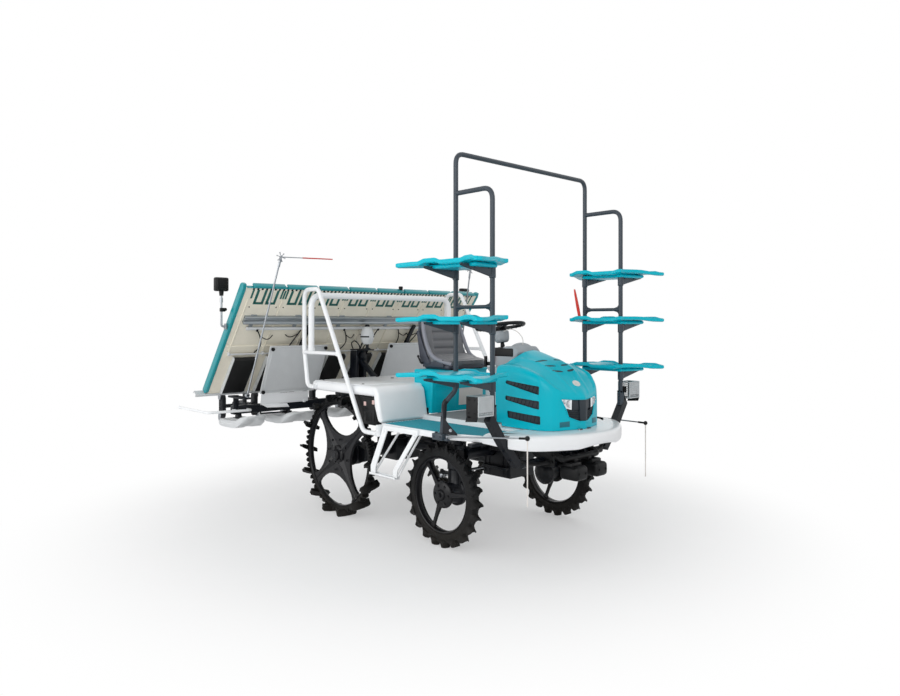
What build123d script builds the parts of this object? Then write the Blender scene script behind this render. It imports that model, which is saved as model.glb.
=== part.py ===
"""Eight-row riding rice transplanter: a four-wheel carrier with a raised planting unit.

Millimetres, +X forward, +Y left, +Z up. Every place along X below is measured from the front
axle; `save` then moves the whole machine so that the origin lies on the ground under the middle
of its outline.
"""
from build123d import *
import os
from math import atan2, cos, degrees, hypot, pi, radians, sin

# --- overall layout ---------------------------------------------------------------------------
front_axle_x = 793  # front axle ahead of the origin
wheelbase = 1180
front_track = 1200
rear_track = 1240
row_pitch = 300
row_count = 8

# --- fits -------------------------------------------------------------------------------------
seat_gap = 0.4  # a piece that rests on another of a different body
pin_clearance = 0.5  # radial, pin or shaft in its bore
panel_gap = 5  # between a moving panel and its neighbour

# --- wheels: tip radius, carcass radius, rim radius, lug count, lug width, lug thickness --------
front_tip_radius, front_carcass_radius, front_rim_radius = 350, 318, 256
front_lug_count, front_lug_width, front_lug_thickness = 22, 72, 20
front_carcass_width = 62
rear_tip_radius, rear_carcass_radius, rear_rim_radius = 475, 430, 396
rear_lug_count, rear_lug_width, rear_lug_thickness = 14, 168, 20
rear_carcass_width = 56
rim_thickness = 12
front_hub_radius, rear_hub_radius = 92, 70
stub_axle_radius = 20
spoke_diameter = 22
arm_thickness = 34

# --- chassis ----------------------------------------------------------------------------------
rail_inner, rail_outer = 140, 200
rail_bottom, rail_top = 655, 725
rail_front, rail_rear = 600, -1290
outrigger_places = (-470, -230, 370)
weight_hole, deck_hole = 11, 11  # bolt holes for accessories
beam_height, beam_radius = 600, 48
kingpin_y = 480
housing_radius, knuckle_radius, kingpin_radius = 60, 52, 24
housing_bottom, housing_top = 550, 742
tie_rod_x, tie_rod_z, tie_rod_radius = -140, 440, 11
drive_tube_z, drive_tube_radius = 500, 40
rear_case_radius = 55

# --- platform of the carrier ------------------------------------------------------------------
step_inner, step_outer = 350, 735
step_bottom, step_top = 745, 785
step_rear = -500
floor_top, floor_rear, floor_front = 822, -500, 250
sheet = 8  # moulded panel thickness
skirt_bottom, skirt_top = 690, 800
deck_half_width, deck_top, deck_bottom = 750, 1045, 970
deck_rear, deck_front = -1380, -540
seat_box_half_width, seat_box_top = 295, 1150
seat_half_width = 215
hood_bottom = skirt_top + panel_gap + 1
hinge_x, hinge_pin_radius = 722, 2.5
engine_rear, engine_front, engine_half_width, engine_top = 270, 510, 190, 1040
steering_centre_x, steering_centre_z, steering_tilt = -30, 1476, 9
steering_shaft_radius = 10
sight_pivot_x, sight_pivot_y, sight_pivot_z = 206, 758, 764

# --- seedling rack ----------------------------------------------------------------------------
post_y, post_diameter = 690, 32
rear_post_x, front_post_x = 218, 540
rack_top, hoop_top, rung_height = 2590, 2330, 1600
shelf_heights = (1175, 1525, 1870)
shelf_thickness = 36
basket_bottom, basket_top = 943, 1063

# --- lift linkage -----------------------------------------------------------------------------
link_length, link_raise = 620, 35
lower_pivot_x, lower_pivot_z = -1250, 600
upper_pivot_x, upper_pivot_z = -1240, 820
link_pin_radius = 14
lift_arm_inner, lift_arm_outer = 66, 92
crank_length, crank_angle = 130, 80
cylinder_pivot_x, cylinder_pivot_z = -760, 712
neck_foot_z, cap_x, cap_z = 1255, -1640, 1310

# --- planting unit ----------------------------------------------------------------------------
beam_back, beam_front, beam_low, beam_high = -2025, -1955, 750, 820
rotor_x, rotor_z, rotor_radius = -2300, 785, 150
case_half_width = 45
roll_axis_z = 960
float_bottom, float_top = 650, 712
marker_pivot_x, marker_pivot_y, marker_pivot_z = -1700, 1150, 930
platform_top_x, platform_top_z, platform_slope = -1506, 1780, 52.3
platform_length, platform_half_width = 1085, 1245
side_frame_outer = 1275

nodes = {}


# --- shape helpers ----------------------------------------------------------------------------
def block(x0, x1, y0, y1, z0, z1):
    """A rectangular solid between two corners."""
    return Pos((x0 + x1) / 2, (y0 + y1) / 2, (z0 + z1) / 2) * Box(x1 - x0, y1 - y0, z1 - z0)


def side_plate(outline, y0, y1):
    """An outline of (x, z) points made solid between two places across the machine."""
    face = make_face(Polyline([(x, y0, z) for x, z in outline], close=True))
    return extrude(face, amount=y1 - y0, dir=(0, 1, 0))


def plan_plate(outline, z0, z1, radius=0):
    """An outline of (x, y) points made solid between two heights, its corners rounded."""
    points = [(x, y, z0) for x, y in outline]
    edge = FilletPolyline(points, radius=radius, close=True) if radius else Polyline(points, close=True)
    return extrude(make_face(edge), amount=z1 - z0, dir=(0, 0, 1))


def rod(start, end, diameter):
    """A round bar between two points."""
    along = Vector(*end) - Vector(*start)
    return extrude(Plane(origin=start, z_dir=along) * Circle(diameter / 2), amount=along.length)


def bent_tube(points, diameter, bend):
    """A round tube along straight runs joined by bends of one radius."""
    path = FilletPolyline(points, radius=[bend] * (len(points) - 2))
    along = Vector(*points[1]) - Vector(*points[0])
    return sweep(Plane(origin=points[0], z_dir=along) * Circle(diameter / 2), path=path)


def cross_pin(x, z, radius, y0, y1):
    """A pin, boss or bore across the machine."""
    return rod((x, y0, z), (x, y1, z), 2 * radius)


def upright(x, y, radius, z0, z1):
    """A vertical post, pin or bore."""
    return rod((x, y, z0), (x, y, z1), 2 * radius)


def other_side(shape):
    """The same shape on the other side of the machine."""
    return mirror(shape, about=Plane.XZ)


def both_sides(shape):
    """A shape and its mirror image."""
    return joined(shape, other_side(shape))


def joined(*shapes):
    """Several shapes as one part."""
    return Part() + list(shapes)


def on_slope(u, w):
    """A point u down the seedling platform from its top edge and w out of its front face."""
    slope = radians(platform_slope)
    x = platform_top_x - u * cos(slope) + w * sin(slope)
    z = platform_top_z - u * sin(slope) - w * cos(slope)
    return x, z


def slope_slab(u0, u1, w0, w1, y0, y1):
    """A slab that lies along the seedling platform."""
    corners = [on_slope(u, w) for u, w in ((u0, w0), (u1, w0), (u1, w1), (u0, w1))]
    return side_plate(corners, y0, y1)


def save(name, shape):
    """Keep one node, moved to the machine's own origin."""
    nodes[name] = Pos(front_axle_x, 0, 0) * shape


def standing_height(tip_radius, lug_count, lug_thickness):
    """Axle height of a lugged wheel that stands on two neighbouring lugs."""
    half_pitch = pi / lug_count
    return tip_radius * cos(half_pitch) + lug_thickness / 2 * sin(half_pitch)


front_axle_z = standing_height(front_tip_radius, front_lug_count, front_lug_thickness)
rear_axle_z = standing_height(rear_tip_radius, rear_lug_count, rear_lug_thickness)
front_wheel_y = front_track / 2
rear_wheel_y = rear_track / 2


# --- wheels -----------------------------------------------------------------------------------
def ring(outer, inner, width):
    """A ring about the Y axis."""
    solid = rod((0, -width / 2, 0), (0, width / 2, 0), 2 * outer)
    return solid - rod((0, -width, 0), (0, width, 0), 2 * inner)


def lugged_tyre(tip, carcass, rim, width, lug_count, lug_width, lug_thickness):
    """A solid rubber tyre whose lugs stand evenly, with the lowest two level."""
    tyre = ring(carcass, rim, width)
    lug = block(carcass - 4, tip, -lug_width / 2, lug_width / 2, -lug_thickness / 2, lug_thickness / 2)
    pitch = 360 / lug_count
    lugs = [Rot(0, 90 + pitch * (i + 0.5), 0) * lug for i in range(lug_count)]
    return joined(tyre, *lugs)


def front_wheel():
    """Spoked front wheel: rim, three spokes and the hub on its stub axle."""
    rim = ring(front_rim_radius, front_rim_radius - rim_thickness, 60)
    hub = ring(front_hub_radius, stub_axle_radius + pin_clearance, 26)
    spokes = []
    for turn in (90, 210, 330):
        reach = front_rim_radius - rim_thickness / 2
        foot = (front_hub_radius - 10) * cos(radians(turn)), (front_hub_radius - 10) * sin(radians(turn))
        tip = reach * cos(radians(turn)), reach * sin(radians(turn))
        spokes.append(rod((foot[0], 0, foot[1]), (tip[0], 0, tip[1]), spoke_diameter))
    wheel = joined(rim, hub, *spokes)
    return wheel & ring(front_rim_radius, stub_axle_radius + pin_clearance, 90)


def rear_wheel():
    """Four curved arms that widen into the hub and carry a thin rim."""
    rim = ring(rear_rim_radius, rear_rim_radius - rim_thickness, 46)
    disc = ring(168, stub_axle_radius + pin_clearance, arm_thickness)
    arm = side_plate([(120, -92), (120, 92), (250, 44), (392, 34), (392, -34), (250, -44)],
                     -arm_thickness / 2, arm_thickness / 2)
    arms = [Rot(0, 37 + 90 * i, 0) * arm for i in range(4)]
    boss = ring(rear_hub_radius, stub_axle_radius + pin_clearance, 70)
    wheel = joined(rim, disc, boss, *arms)
    return wheel & ring(rear_rim_radius, stub_axle_radius + pin_clearance, 120)


def make_wheels():
    """Tyre and wheel of each corner."""
    front_tyre = lugged_tyre(front_tip_radius, front_carcass_radius, front_rim_radius, front_carcass_width,
                             front_lug_count, front_lug_width, front_lug_thickness)
    rear_tyre = lugged_tyre(rear_tip_radius, rear_carcass_radius, rear_rim_radius, rear_carcass_width,
                            rear_lug_count, rear_lug_width, rear_lug_thickness)
    for name, side in (("left", 1), ("right", -1)):
        at_front = Pos(0, side * front_wheel_y, front_axle_z)
        at_rear = Pos(-wheelbase, side * rear_wheel_y, rear_axle_z)
        save(f"front_tyre_{name}", at_front * front_tyre)
        save(f"front_wheel_{name}", at_front * front_wheel())
        save(f"rear_tyre_{name}", at_rear * rear_tyre)
        save(f"rear_wheel_{name}", at_rear * rear_wheel())


# --- axles and steering -----------------------------------------------------------------------
def make_axles():
    """Front beam with its kingpin housings, steered knuckles, tie rod and rear axle case."""
    beam = rod((0, -kingpin_y, beam_height), (0, kingpin_y, beam_height), 2 * beam_radius)
    housing = upright(0, kingpin_y, housing_radius, housing_bottom, housing_top)
    saddle = block(-55, 55, rail_inner, rail_outer, beam_height, rail_bottom)
    pin_bore = upright(0, kingpin_y, kingpin_radius + pin_clearance, housing_bottom - 1, housing_bottom + 81)
    save("front_axle_beam", joined(beam, both_sides(housing), both_sides(saddle)) - both_sides(pin_bore))

    knuckle_top = housing_bottom - seat_gap
    case = upright(0, kingpin_y, knuckle_radius, front_axle_z - 62, knuckle_top)
    kingpin = upright(0, kingpin_y, kingpin_radius, knuckle_top - 1, housing_bottom + 80)
    hub_side = front_wheel_y - 13 - seat_gap
    hub_case = rod((0, kingpin_y, front_axle_z), (0, hub_side, front_axle_z), 124)
    stub = rod((0, kingpin_y, front_axle_z), (0, front_wheel_y + 20, front_axle_z), 2 * stub_axle_radius)
    arm = block(tie_rod_x, 0, kingpin_y - 16, kingpin_y + 16, tie_rod_z + 16, tie_rod_z + 34)
    arm_end = upright(tie_rod_x, kingpin_y, 20, tie_rod_z + 16, tie_rod_z + 34)
    ball_pin = upright(tie_rod_x, kingpin_y, 8, tie_rod_z - 16, tie_rod_z + 20)
    knuckle = joined(case, kingpin, hub_case, stub, arm, arm_end, ball_pin)
    save("knuckle_left", knuckle)
    save("knuckle_right", other_side(knuckle))

    eye = upright(tie_rod_x, kingpin_y, 20, tie_rod_z - 14, tie_rod_z + 14)
    eye_bore = upright(tie_rod_x, kingpin_y, 8 + pin_clearance, tie_rod_z - 20, tie_rod_z + 20)
    bar = rod((tie_rod_x, -kingpin_y, tie_rod_z), (tie_rod_x, kingpin_y, tie_rod_z), 2 * tie_rod_radius)
    save("tie_rod", joined(bar, both_sides(eye)) - both_sides(eye_bore))

    gearbox = block(-1262, -1070, -130, 130, 370, 545)
    tube = cross_pin(-wheelbase, rear_axle_z, rear_case_radius, -470, 470)
    final_drive = cross_pin(-wheelbase, rear_axle_z, 95, 440, 500)
    drive_front = side_plate([(-1085, rear_axle_z + 70), (-1010, rear_axle_z + 45), (-1010, rear_axle_z - 45),
                              (-1085, rear_axle_z - 70)], 440, 500)
    stub = cross_pin(-wheelbase, rear_axle_z, stub_axle_radius, 400, rear_wheel_y + 50)
    shoulder = cross_pin(-wheelbase, rear_axle_z, 50, 480, rear_wheel_y - 35 - seat_gap)
    hanger = block(-wheelbase - 55, -wheelbase + 55, rail_inner, rail_outer, rear_axle_z, rail_bottom)
    side = joined(final_drive, stub, shoulder, hanger, drive_front)
    save("rear_axle_case", joined(gearbox, tube, side, other_side(side)))


# --- chassis ----------------------------------------------------------------------------------
def chassis_shape():
    """Two rails with cross members, rack outriggers, tow nose and the link uprights."""
    rail = block(rail_rear, rail_front, rail_inner, rail_outer, rail_bottom, rail_top)
    hinge_plate = block(-1290, -1190, 110, rail_inner, 562, upper_pivot_z + 40)
    lower_bore = cross_pin(lower_pivot_x, lower_pivot_z, link_pin_radius + pin_clearance, 100, 150)
    upper_bore = cross_pin(upper_pivot_x, upper_pivot_z, link_pin_radius + pin_clearance, 100, 150)
    rack_hanger = block(front_post_x - 25, front_post_x + 25, rail_inner, rail_outer, 600, rail_bottom)
    cross_members = [block(x - 25, x + 25, -rail_inner, rail_inner, rail_bottom, top)
                     for x, top in ((front_post_x, rail_top), (-300, rail_top), (-700, 685), (-1110, 675))]
    rack_tube = cross_pin(front_post_x, 600, 25, -430, 430)
    nose = block(rail_front, rail_front + 12, -rail_outer, rail_outer, 560, rail_top)
    horn = block(rail_front + 12, 668, 70, 84, 585, 655)
    outriggers = [block(x - 20, x + 20, engine_half_width + seat_gap, step_outer - 20, rail_top, step_bottom)
                  for x in outrigger_places]
    post = block(-1100, -1060, 150, 190, rail_top, deck_top - sheet)
    post_arm = block(-1100, -1060, 150, 600, deck_top - sheet - 30, deck_top - sheet)
    clevis = block(cylinder_pivot_x - 25, cylinder_pivot_x + 25, 18, 30, 685, cylinder_pivot_z + 24)
    clevis_foot = block(cylinder_pivot_x - 25, -675, 18, 30, rail_bottom, 690)
    clevis_pin = cross_pin(cylinder_pivot_x, cylinder_pivot_z, 10, -30, 30)
    side = joined(rail, hinge_plate, rack_hanger, horn, clevis, clevis_foot, post, post_arm, *outriggers)
    frame = joined(side, other_side(side), *cross_members, rack_tube, nose, clevis_pin)
    weight_holes = [rod((590, y, z), (620, y, z), weight_hole) for y in (-105, 105) for z in (652, 682)]
    return frame - both_sides(joined(lower_bore, upper_bore)) - joined(*weight_holes)


def make_chassis():
    """Frame, engine, gearbox, drive tube and bumper."""
    frame = chassis_shape()
    save("chassis_frame", frame)
    case = block(-80, 180, -125, 125, 410, rail_top)
    beam_space = rod((0, -300, beam_height), (0, 300, beam_height), 2 * beam_radius)
    drive_tube = rod((-1070, 0, drive_tube_z), (-70, 0, drive_tube_z), 2 * drive_tube_radius)
    save("transmission_case", joined(case, drive_tube) - beam_space)
    engine = block(engine_rear, engine_front, -engine_half_width, engine_half_width, rail_top, engine_top)
    save("engine_block", engine)
    bar = rod((688, -180, 620), (688, 180, 620), 40)
    pad = block(640, 790, 50, 170, 490, 585)
    pad_plate = block(612, 668, 92, 150, 560, 585)
    pad = fillet(pad.edges(), 18)
    save("front_bumper", joined(bar, both_sides(joined(pad, pad_plate, block(668, 690, 60, 90, 585, 620))))
         - frame)


# --- floor, steps and panels ------------------------------------------------------------------
def make_panels():
    """Floor, side steps, nose skirt, rear deck, seat box and dash."""
    floor = block(floor_rear, floor_front, -step_inner, step_inner, step_bottom, floor_top)
    floor_inside = block(floor_rear + sheet, floor_front - sheet, -step_inner + sheet, step_inner - sheet,
                         step_bottom - 1, floor_top - sheet)
    save("floor_panel", floor - floor_inside)

    step_outline = [(step_rear, step_inner), (step_rear, step_outer), (150, step_outer), (400, 645),
                    (400, step_inner)]
    step = plan_plate(step_outline, step_bottom, step_top)
    recess = plan_plate([(step_rear + sheet, step_inner + sheet), (step_rear + sheet, step_outer - sheet),
                         (148, step_outer - sheet), (400 - sheet, 637), (400 - sheet, step_inner + sheet)],
                        step_bottom - 1, step_top - sheet)
    save("side_steps", both_sides(step - recess))

    def skirt_outline(inset):
        half = [(floor_front + inset, step_inner - inset), (400 + inset, step_inner - inset),
                (400 + inset, 645 - inset), (550 - 0.6 * inset, 602 - 0.8 * inset),
                (700 - 0.8 * inset, 455 - 0.7 * inset), (820 - inset, 250 - 0.4 * inset),
                (868 - inset, 80)]
        return half + [(x, -y) for x, y in reversed(half)]

    skirt = plan_plate(skirt_outline(0), skirt_bottom, skirt_top)
    skirt_inside = plan_plate(skirt_outline(sheet), skirt_bottom - 1, skirt_top - sheet)
    bay = block(floor_front - 10, 600, -230, 230, skirt_bottom, skirt_top + 1)
    rear_cut = block(floor_front - 1, 420, -700, 700, skirt_bottom - 1, step_bottom)
    leg_slot = rod((front_post_x, post_y, 930), (front_post_x, 430, 600), 60)
    ear = block(hinge_x - 6, hinge_x + 6, 59, 66, skirt_top - sheet, hood_bottom + 6)
    hinge_pin = cross_pin(hinge_x, hood_bottom, hinge_pin_radius, 31, 66)
    skirt = skirt - skirt_inside - bay - rear_cut - both_sides(leg_slot)
    save("front_skirt", joined(skirt, both_sides(joined(ear, hinge_pin))))

    deck_profile = [(deck_rear, 985), (deck_rear, 1020), (deck_rear + 30, deck_top),
                    (deck_front - 30, deck_top), (deck_front, deck_top - 25), (-508, 800), (-508, step_top),
                    (-516, step_top), (-516, 800), (deck_front - sheet, deck_bottom),
                    (deck_rear + 20, deck_bottom)]
    deck = side_plate(deck_profile, -deck_half_width, deck_half_width)
    inside = side_plate([(deck_rear + sheet, deck_bottom - 1), (deck_rear + sheet, 1018),
                         (deck_rear + 34, deck_top - sheet), (deck_front - 34, deck_top - sheet),
                         (deck_front - sheet - 8, deck_bottom - 1)],
                        -deck_half_width + sheet, deck_half_width - sheet)
    seat_bay = block(-670, -500, -seat_box_half_width - 5, seat_box_half_width + 5, 700, 1100)
    front_bay = block(-620, -500, -330, 330, 700, deck_top - sheet - 20)
    accessory_holes = [rod((x, y, deck_top - 20), (x, y, deck_top + 5), deck_hole)
                       for x in (-1300, -1100) for y in (-150, 150)]
    link_notch = block(deck_rear - 1, -1300, -100, 100, deck_bottom - 1, deck_top - sheet - 10)
    deck = deck - inside - seat_bay - front_bay - joined(*accessory_holes) - link_notch
    save("rear_deck", deck)

    seat_box = side_plate([(-660, 860), (-660, seat_box_top), (-440, seat_box_top), (-455, floor_top),
                           (floor_rear, floor_top), (floor_rear, 860)],
                          -seat_box_half_width, seat_box_half_width)
    box_inside = side_plate([(-652, 852), (-652, seat_box_top - sheet), (-449, seat_box_top - sheet),
                             (-463, floor_top - 1), (floor_rear + sheet, floor_top - 1),
                             (floor_rear + sheet, 852)],
                            -seat_box_half_width + sheet, seat_box_half_width - sheet)
    save("seat_box", seat_box - box_inside)

    dash = side_plate([(120, floor_top), (120, 1060), (-70, 1240), (-70, 1290), (-20, 1326), (50, 1320),
                       (130, 1360), (222, 1352), (262, 1300), (188, 1190), (188, 1060), (250, 1000),
                       (250, floor_top)], -180, 180)
    dash = dash - both_sides(block(-100, 300, 125, 190, 1190, 1400))
    column = steering_line(175, 40, 44)
    bore = steering_line(200, 30, 2 * (steering_shaft_radius + pin_clearance))
    save("dash_cowl", joined(dash, column) - bore)

    battery = block(-700, -560, 560, 735, 760, deck_bottom - 2)
    strap = block(-560, -516, 600, 700, 800, 860)
    hanger = block(-680, -600, 600, 700, deck_bottom - 3, deck_top - sheet)
    save("battery_boxes", both_sides(joined(battery, hanger, strap)) - deck)


def make_seat():
    """Seat: dark pan, soft cushion and soft backrest."""
    pan = side_plate([(-658, seat_box_top), (-658, 1172), (-370, 1172), (-370, seat_box_top)], -195, 195)
    back_plate = side_plate([(-690, 1160), (-658, 1160), (-736, 1480), (-760, 1480)], -160, 160)
    save("seat_pan", joined(pan, back_plate))
    cushion = block(-618, -345, -seat_half_width, seat_half_width, 1172.5, 1262)
    save("seat_cushion", fillet(cushion.edges(), 26))
    back = side_plate([(-652, 1180), (-622, 1268), (-558, 1262), (-646, 1545), (-718, 1545), (-729, 1500)],
                      -seat_half_width, seat_half_width)
    back = back - block(-618.3, -150, -260, 260, 1100, 1262.4)
    save("seat_backrest", back - joined(pan, back_plate))


# --- hood -------------------------------------------------------------------------------------
# place along X, half width, crown height, shoulder drop
hood_sections = ((200, 296, 1345, 150), (420, 300, 1252, 130), (600, 286, 1140, 90), (690, 232, 1085, 70),
                 (722, 176, 1030, 50))


def hood_body(wall):
    """The hood's outer form, or the form one wall inside it."""
    faces = []
    for x, half, crown, drop in hood_sections:
        inner_half, top = half - wall, crown - wall
        low = hood_bottom - (20 if wall else 0)
        outline = [(-inner_half, low), (-inner_half, top - drop), (-inner_half * 0.72, top - drop * 0.25),
                   (-inner_half * 0.3, top), (inner_half * 0.3, top), (inner_half * 0.72, top - drop * 0.25),
                   (inner_half, top - drop), (inner_half, low)]
        place = x - wall if x > 650 else x - 12 if wall and x < 250 else x
        faces.append(make_face(Polyline([(place, y, z) for y, z in outline], close=True)))
    return loft(faces, ruled=True)


def make_hood():
    """Tilting hood with its grille and headlamps, and the hinge at its front edge."""
    shell = hood_body(0) - hood_body(sheet)
    rear_slant = side_plate([(100, 1205), (200, 1205), (289, 1322), (289, 1400), (100, 1400)], -400, 400)
    shell = shell - rear_slant
    wedge = extrude(make_face(Polyline([(640, -212, 1022), (640, 212, 1022), (640, 60, 850), (640, -60, 850)],
                                       close=True)), amount=120, dir=(1, 0, 0))
    insert = shell & wedge
    lamp_space = both_sides(block(600, 760, 118, 215, 942, 1025))
    vents = [side_plate([(292, low), (300, high), (575, high - 25), (575, high - 81)], 200, 400)
             for low, high in ((1096, 1117), (986, 1018), (868, 920))]
    barrel = both_sides(cross_pin(hinge_x, hood_bottom, 5, 30, 58))
    barrel_bore = both_sides(cross_pin(hinge_x, hood_bottom, hinge_pin_radius + pin_clearance, 20, 70))
    ear_space = both_sides(block(hinge_x - 14, hinge_x + 14, 57, 68, skirt_top, hood_bottom + 16))
    over_floor = block(190, floor_front + panel_gap, -400, 400, hood_bottom - 30, floor_top + panel_gap)
    shell = shell - wedge - both_sides(joined(*vents)) - over_floor - ear_space
    save("hood_shell", joined(shell, barrel) - barrel_bore)
    save("hood_grille", insert - lamp_space)
    save("headlamps", insert & lamp_space)


def steering_line(low, high, diameter):
    """A round bar on the steering axis, between two depths under the wheel's middle."""
    tilt = radians(steering_tilt)
    ends = [(steering_centre_x + depth * sin(tilt), 0, steering_centre_z - depth * cos(tilt))
            for depth in (low, high)]
    return rod(ends[0], ends[1], diameter)


def make_steering_wheel():
    """Steering wheel on its shaft, tilted towards the seat."""
    wheel = Torus(172, 13)
    spokes = [Rot(0, 0, 120 * i) * Pos(88, 0, -6) * Box(166, 26, 8) for i in range(3)]
    hub = Pos(0, 0, -8) * Cylinder(38, 26)
    place = Pos(steering_centre_x, 0, steering_centre_z) * Rot(0, -steering_tilt, 0)
    shaft = steering_line(190, 5, 2 * steering_shaft_radius)
    save("steering_wheel", joined(place * joined(wheel, hub, *spokes), shaft))


# --- rack, rails and ladders ------------------------------------------------------------------
def rack_shape():
    """Posts, top bar, hoops, rungs and legs of the seedling rack."""
    foot_z = step_top + 8
    post_path = [(146, 756, foot_z - 4), (158, 744, 985), (rear_post_x, post_y, 1070),
                 (rear_post_x, post_y, rack_top), (rear_post_x, -post_y, rack_top),
                 (rear_post_x, -post_y, 1070), (158, -744, 985), (146, -756, foot_z - 4)]
    top_frame = bent_tube(post_path, post_diameter, 70)
    hoop = bent_tube([(rear_post_x, post_y, hoop_top), (front_post_x, post_y, hoop_top),
                      (front_post_x, post_y, 930)], post_diameter, 70)
    rung = rod((rear_post_x, post_y, rung_height), (front_post_x, post_y, rung_height), 26)
    leg = rod((front_post_x, post_y, 940), (front_post_x, 440, 612), 40)
    clamp = upright(front_post_x, post_y, 26, 900, 985)
    foot = block(95, 190, step_outer, 790, step_bottom + 4, foot_z)
    gusset = side_plate([(149, foot_z - 2), (190, foot_z - 2), (152, 880)], 745, 761)
    sight_lug = block(188, sight_pivot_x + 14, sight_pivot_y - 14, sight_pivot_y + 14,
                      step_bottom + 4, sight_pivot_z)
    sight_pin = upright(sight_pivot_x, sight_pivot_y, 5, step_bottom + 6, sight_pivot_z + 26)
    side = joined(hoop, rung, leg, clamp, foot, gusset, sight_lug, sight_pin)
    for z in shelf_heights:
        under = z - shelf_thickness / 2
        for x in (rear_post_x, front_post_x):
            outline = [(x - 12, y, height) for y, height in ((post_y, under), (960, under), (960, under - 14),
                                                             (post_y, under - 70))]
            side = joined(side, extrude(make_face(Polyline(outline, close=True)), amount=24, dir=(1, 0, 0)))
    return joined(top_frame, side, other_side(side))


# height of the shelf, outline of its half as (x, y)
shelf_outline = ((150, 600), (580, 600), (600, 660), (720, 975), (700, 1000), (560, 960), (140, 960),
                 (0, 1000), (-20, 975), (130, 660))


def make_rack(rack):
    """Seedling rack frame with its brackets, the shelves and the baskets."""
    save("rack_frame", rack - chassis_shape())
    shelves = [plan_plate(shelf_outline, z - shelf_thickness / 2, z + shelf_thickness / 2)
               for z in shelf_heights]
    save("rack_shelves", both_sides(joined(*shelves)) - rack)
    outer = block(490, 590, post_y + 12, 870, basket_bottom, basket_top)
    inner = block(496, 584, post_y + 18, 864, basket_bottom + 6, basket_top + 1)
    save("rack_baskets", both_sides(outer - inner) - rack)


def make_rails():
    """Handrails with the guard rail behind the seat, and the boarding ladders."""
    rail_y, rail_diameter = 775, 34
    handrail = bent_tube([(-1290, rail_y, 1000), (-1388, rail_y, 1000), (-1440, rail_y, 1300),
                          (-1440, rail_y, 1765), (-1240, rail_y, 1765), (-655, rail_y, 720),
                          (-495, rail_y, 720)], rail_diameter, 62)
    rung = rod((-1440, rail_y, 1268), (-965, rail_y, 1268), 28)
    stub = rod((-1305, deck_half_width, 1005), (-1305, rail_y, 1005), 26)
    bracket = block(-500, -476, step_outer, rail_y, 705, 780)
    side = joined(handrail, rung, stub, bracket)
    guard = bent_tube([(-1380, 748, 1262), (-1380, 748, 1720), (-1380, -748, 1720), (-1380, -748, 1262)],
                      48, 90)
    handrails = joined(guard, side, other_side(side))
    save("handrails", handrails)

    top_bar = block(-455, -90, step_outer, step_outer + 16, step_bottom + 2, step_top - 2)
    rear_rail = rod((-440, 745, 750), (-505, 808, 452), 26)
    front_rail = rod((-105, 745, 750), (-245, 808, 452), 26)
    tread = block(-518, -232, 780, 830, 440, 458)
    brace = rod((-170, 640, 741), (-238, 796, 452), 20)
    rear_brace = rod((-400, 640, 741), (-488, 796, 452), 20)
    ladder = joined(top_bar, rear_rail, front_rail, tread, brace, rear_brace)
    under_step = block(-520, 420, 0, step_outer, step_bottom, step_top)
    save("boarding_ladders", both_sides(ladder - under_step) - handrails - chassis_shape())


# --- lift linkage -----------------------------------------------------------------------------
raise_x = -link_length * cos(radians(link_raise))
raise_z = link_length * sin(radians(link_raise))
hitch_low = (lower_pivot_x + raise_x, lower_pivot_z + raise_z)
hitch_high = (upper_pivot_x + raise_x, upper_pivot_z + raise_z)
crank_turn = radians(link_raise + crank_angle)
crank_x = lower_pivot_x - crank_length * cos(crank_turn)
crank_z = lower_pivot_z + crank_length * sin(crank_turn)


def link_bar(start, end, half_height, y0, y1):
    """A flat bar with round ends between two pivots, given as (x, z)."""
    along = Vector(end[0] - start[0], 0, end[1] - start[1])
    side = Vector(0, 1, 0).cross(along).normalized() * half_height
    corners = [(start[0] + side.X, start[1] + side.Z), (end[0] + side.X, end[1] + side.Z),
               (end[0] - side.X, end[1] - side.Z), (start[0] - side.X, start[1] - side.Z)]
    return joined(side_plate(corners, y0, y1), cross_pin(*start, half_height, y0, y1),
                  cross_pin(*end, half_height, y0, y1))


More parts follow.
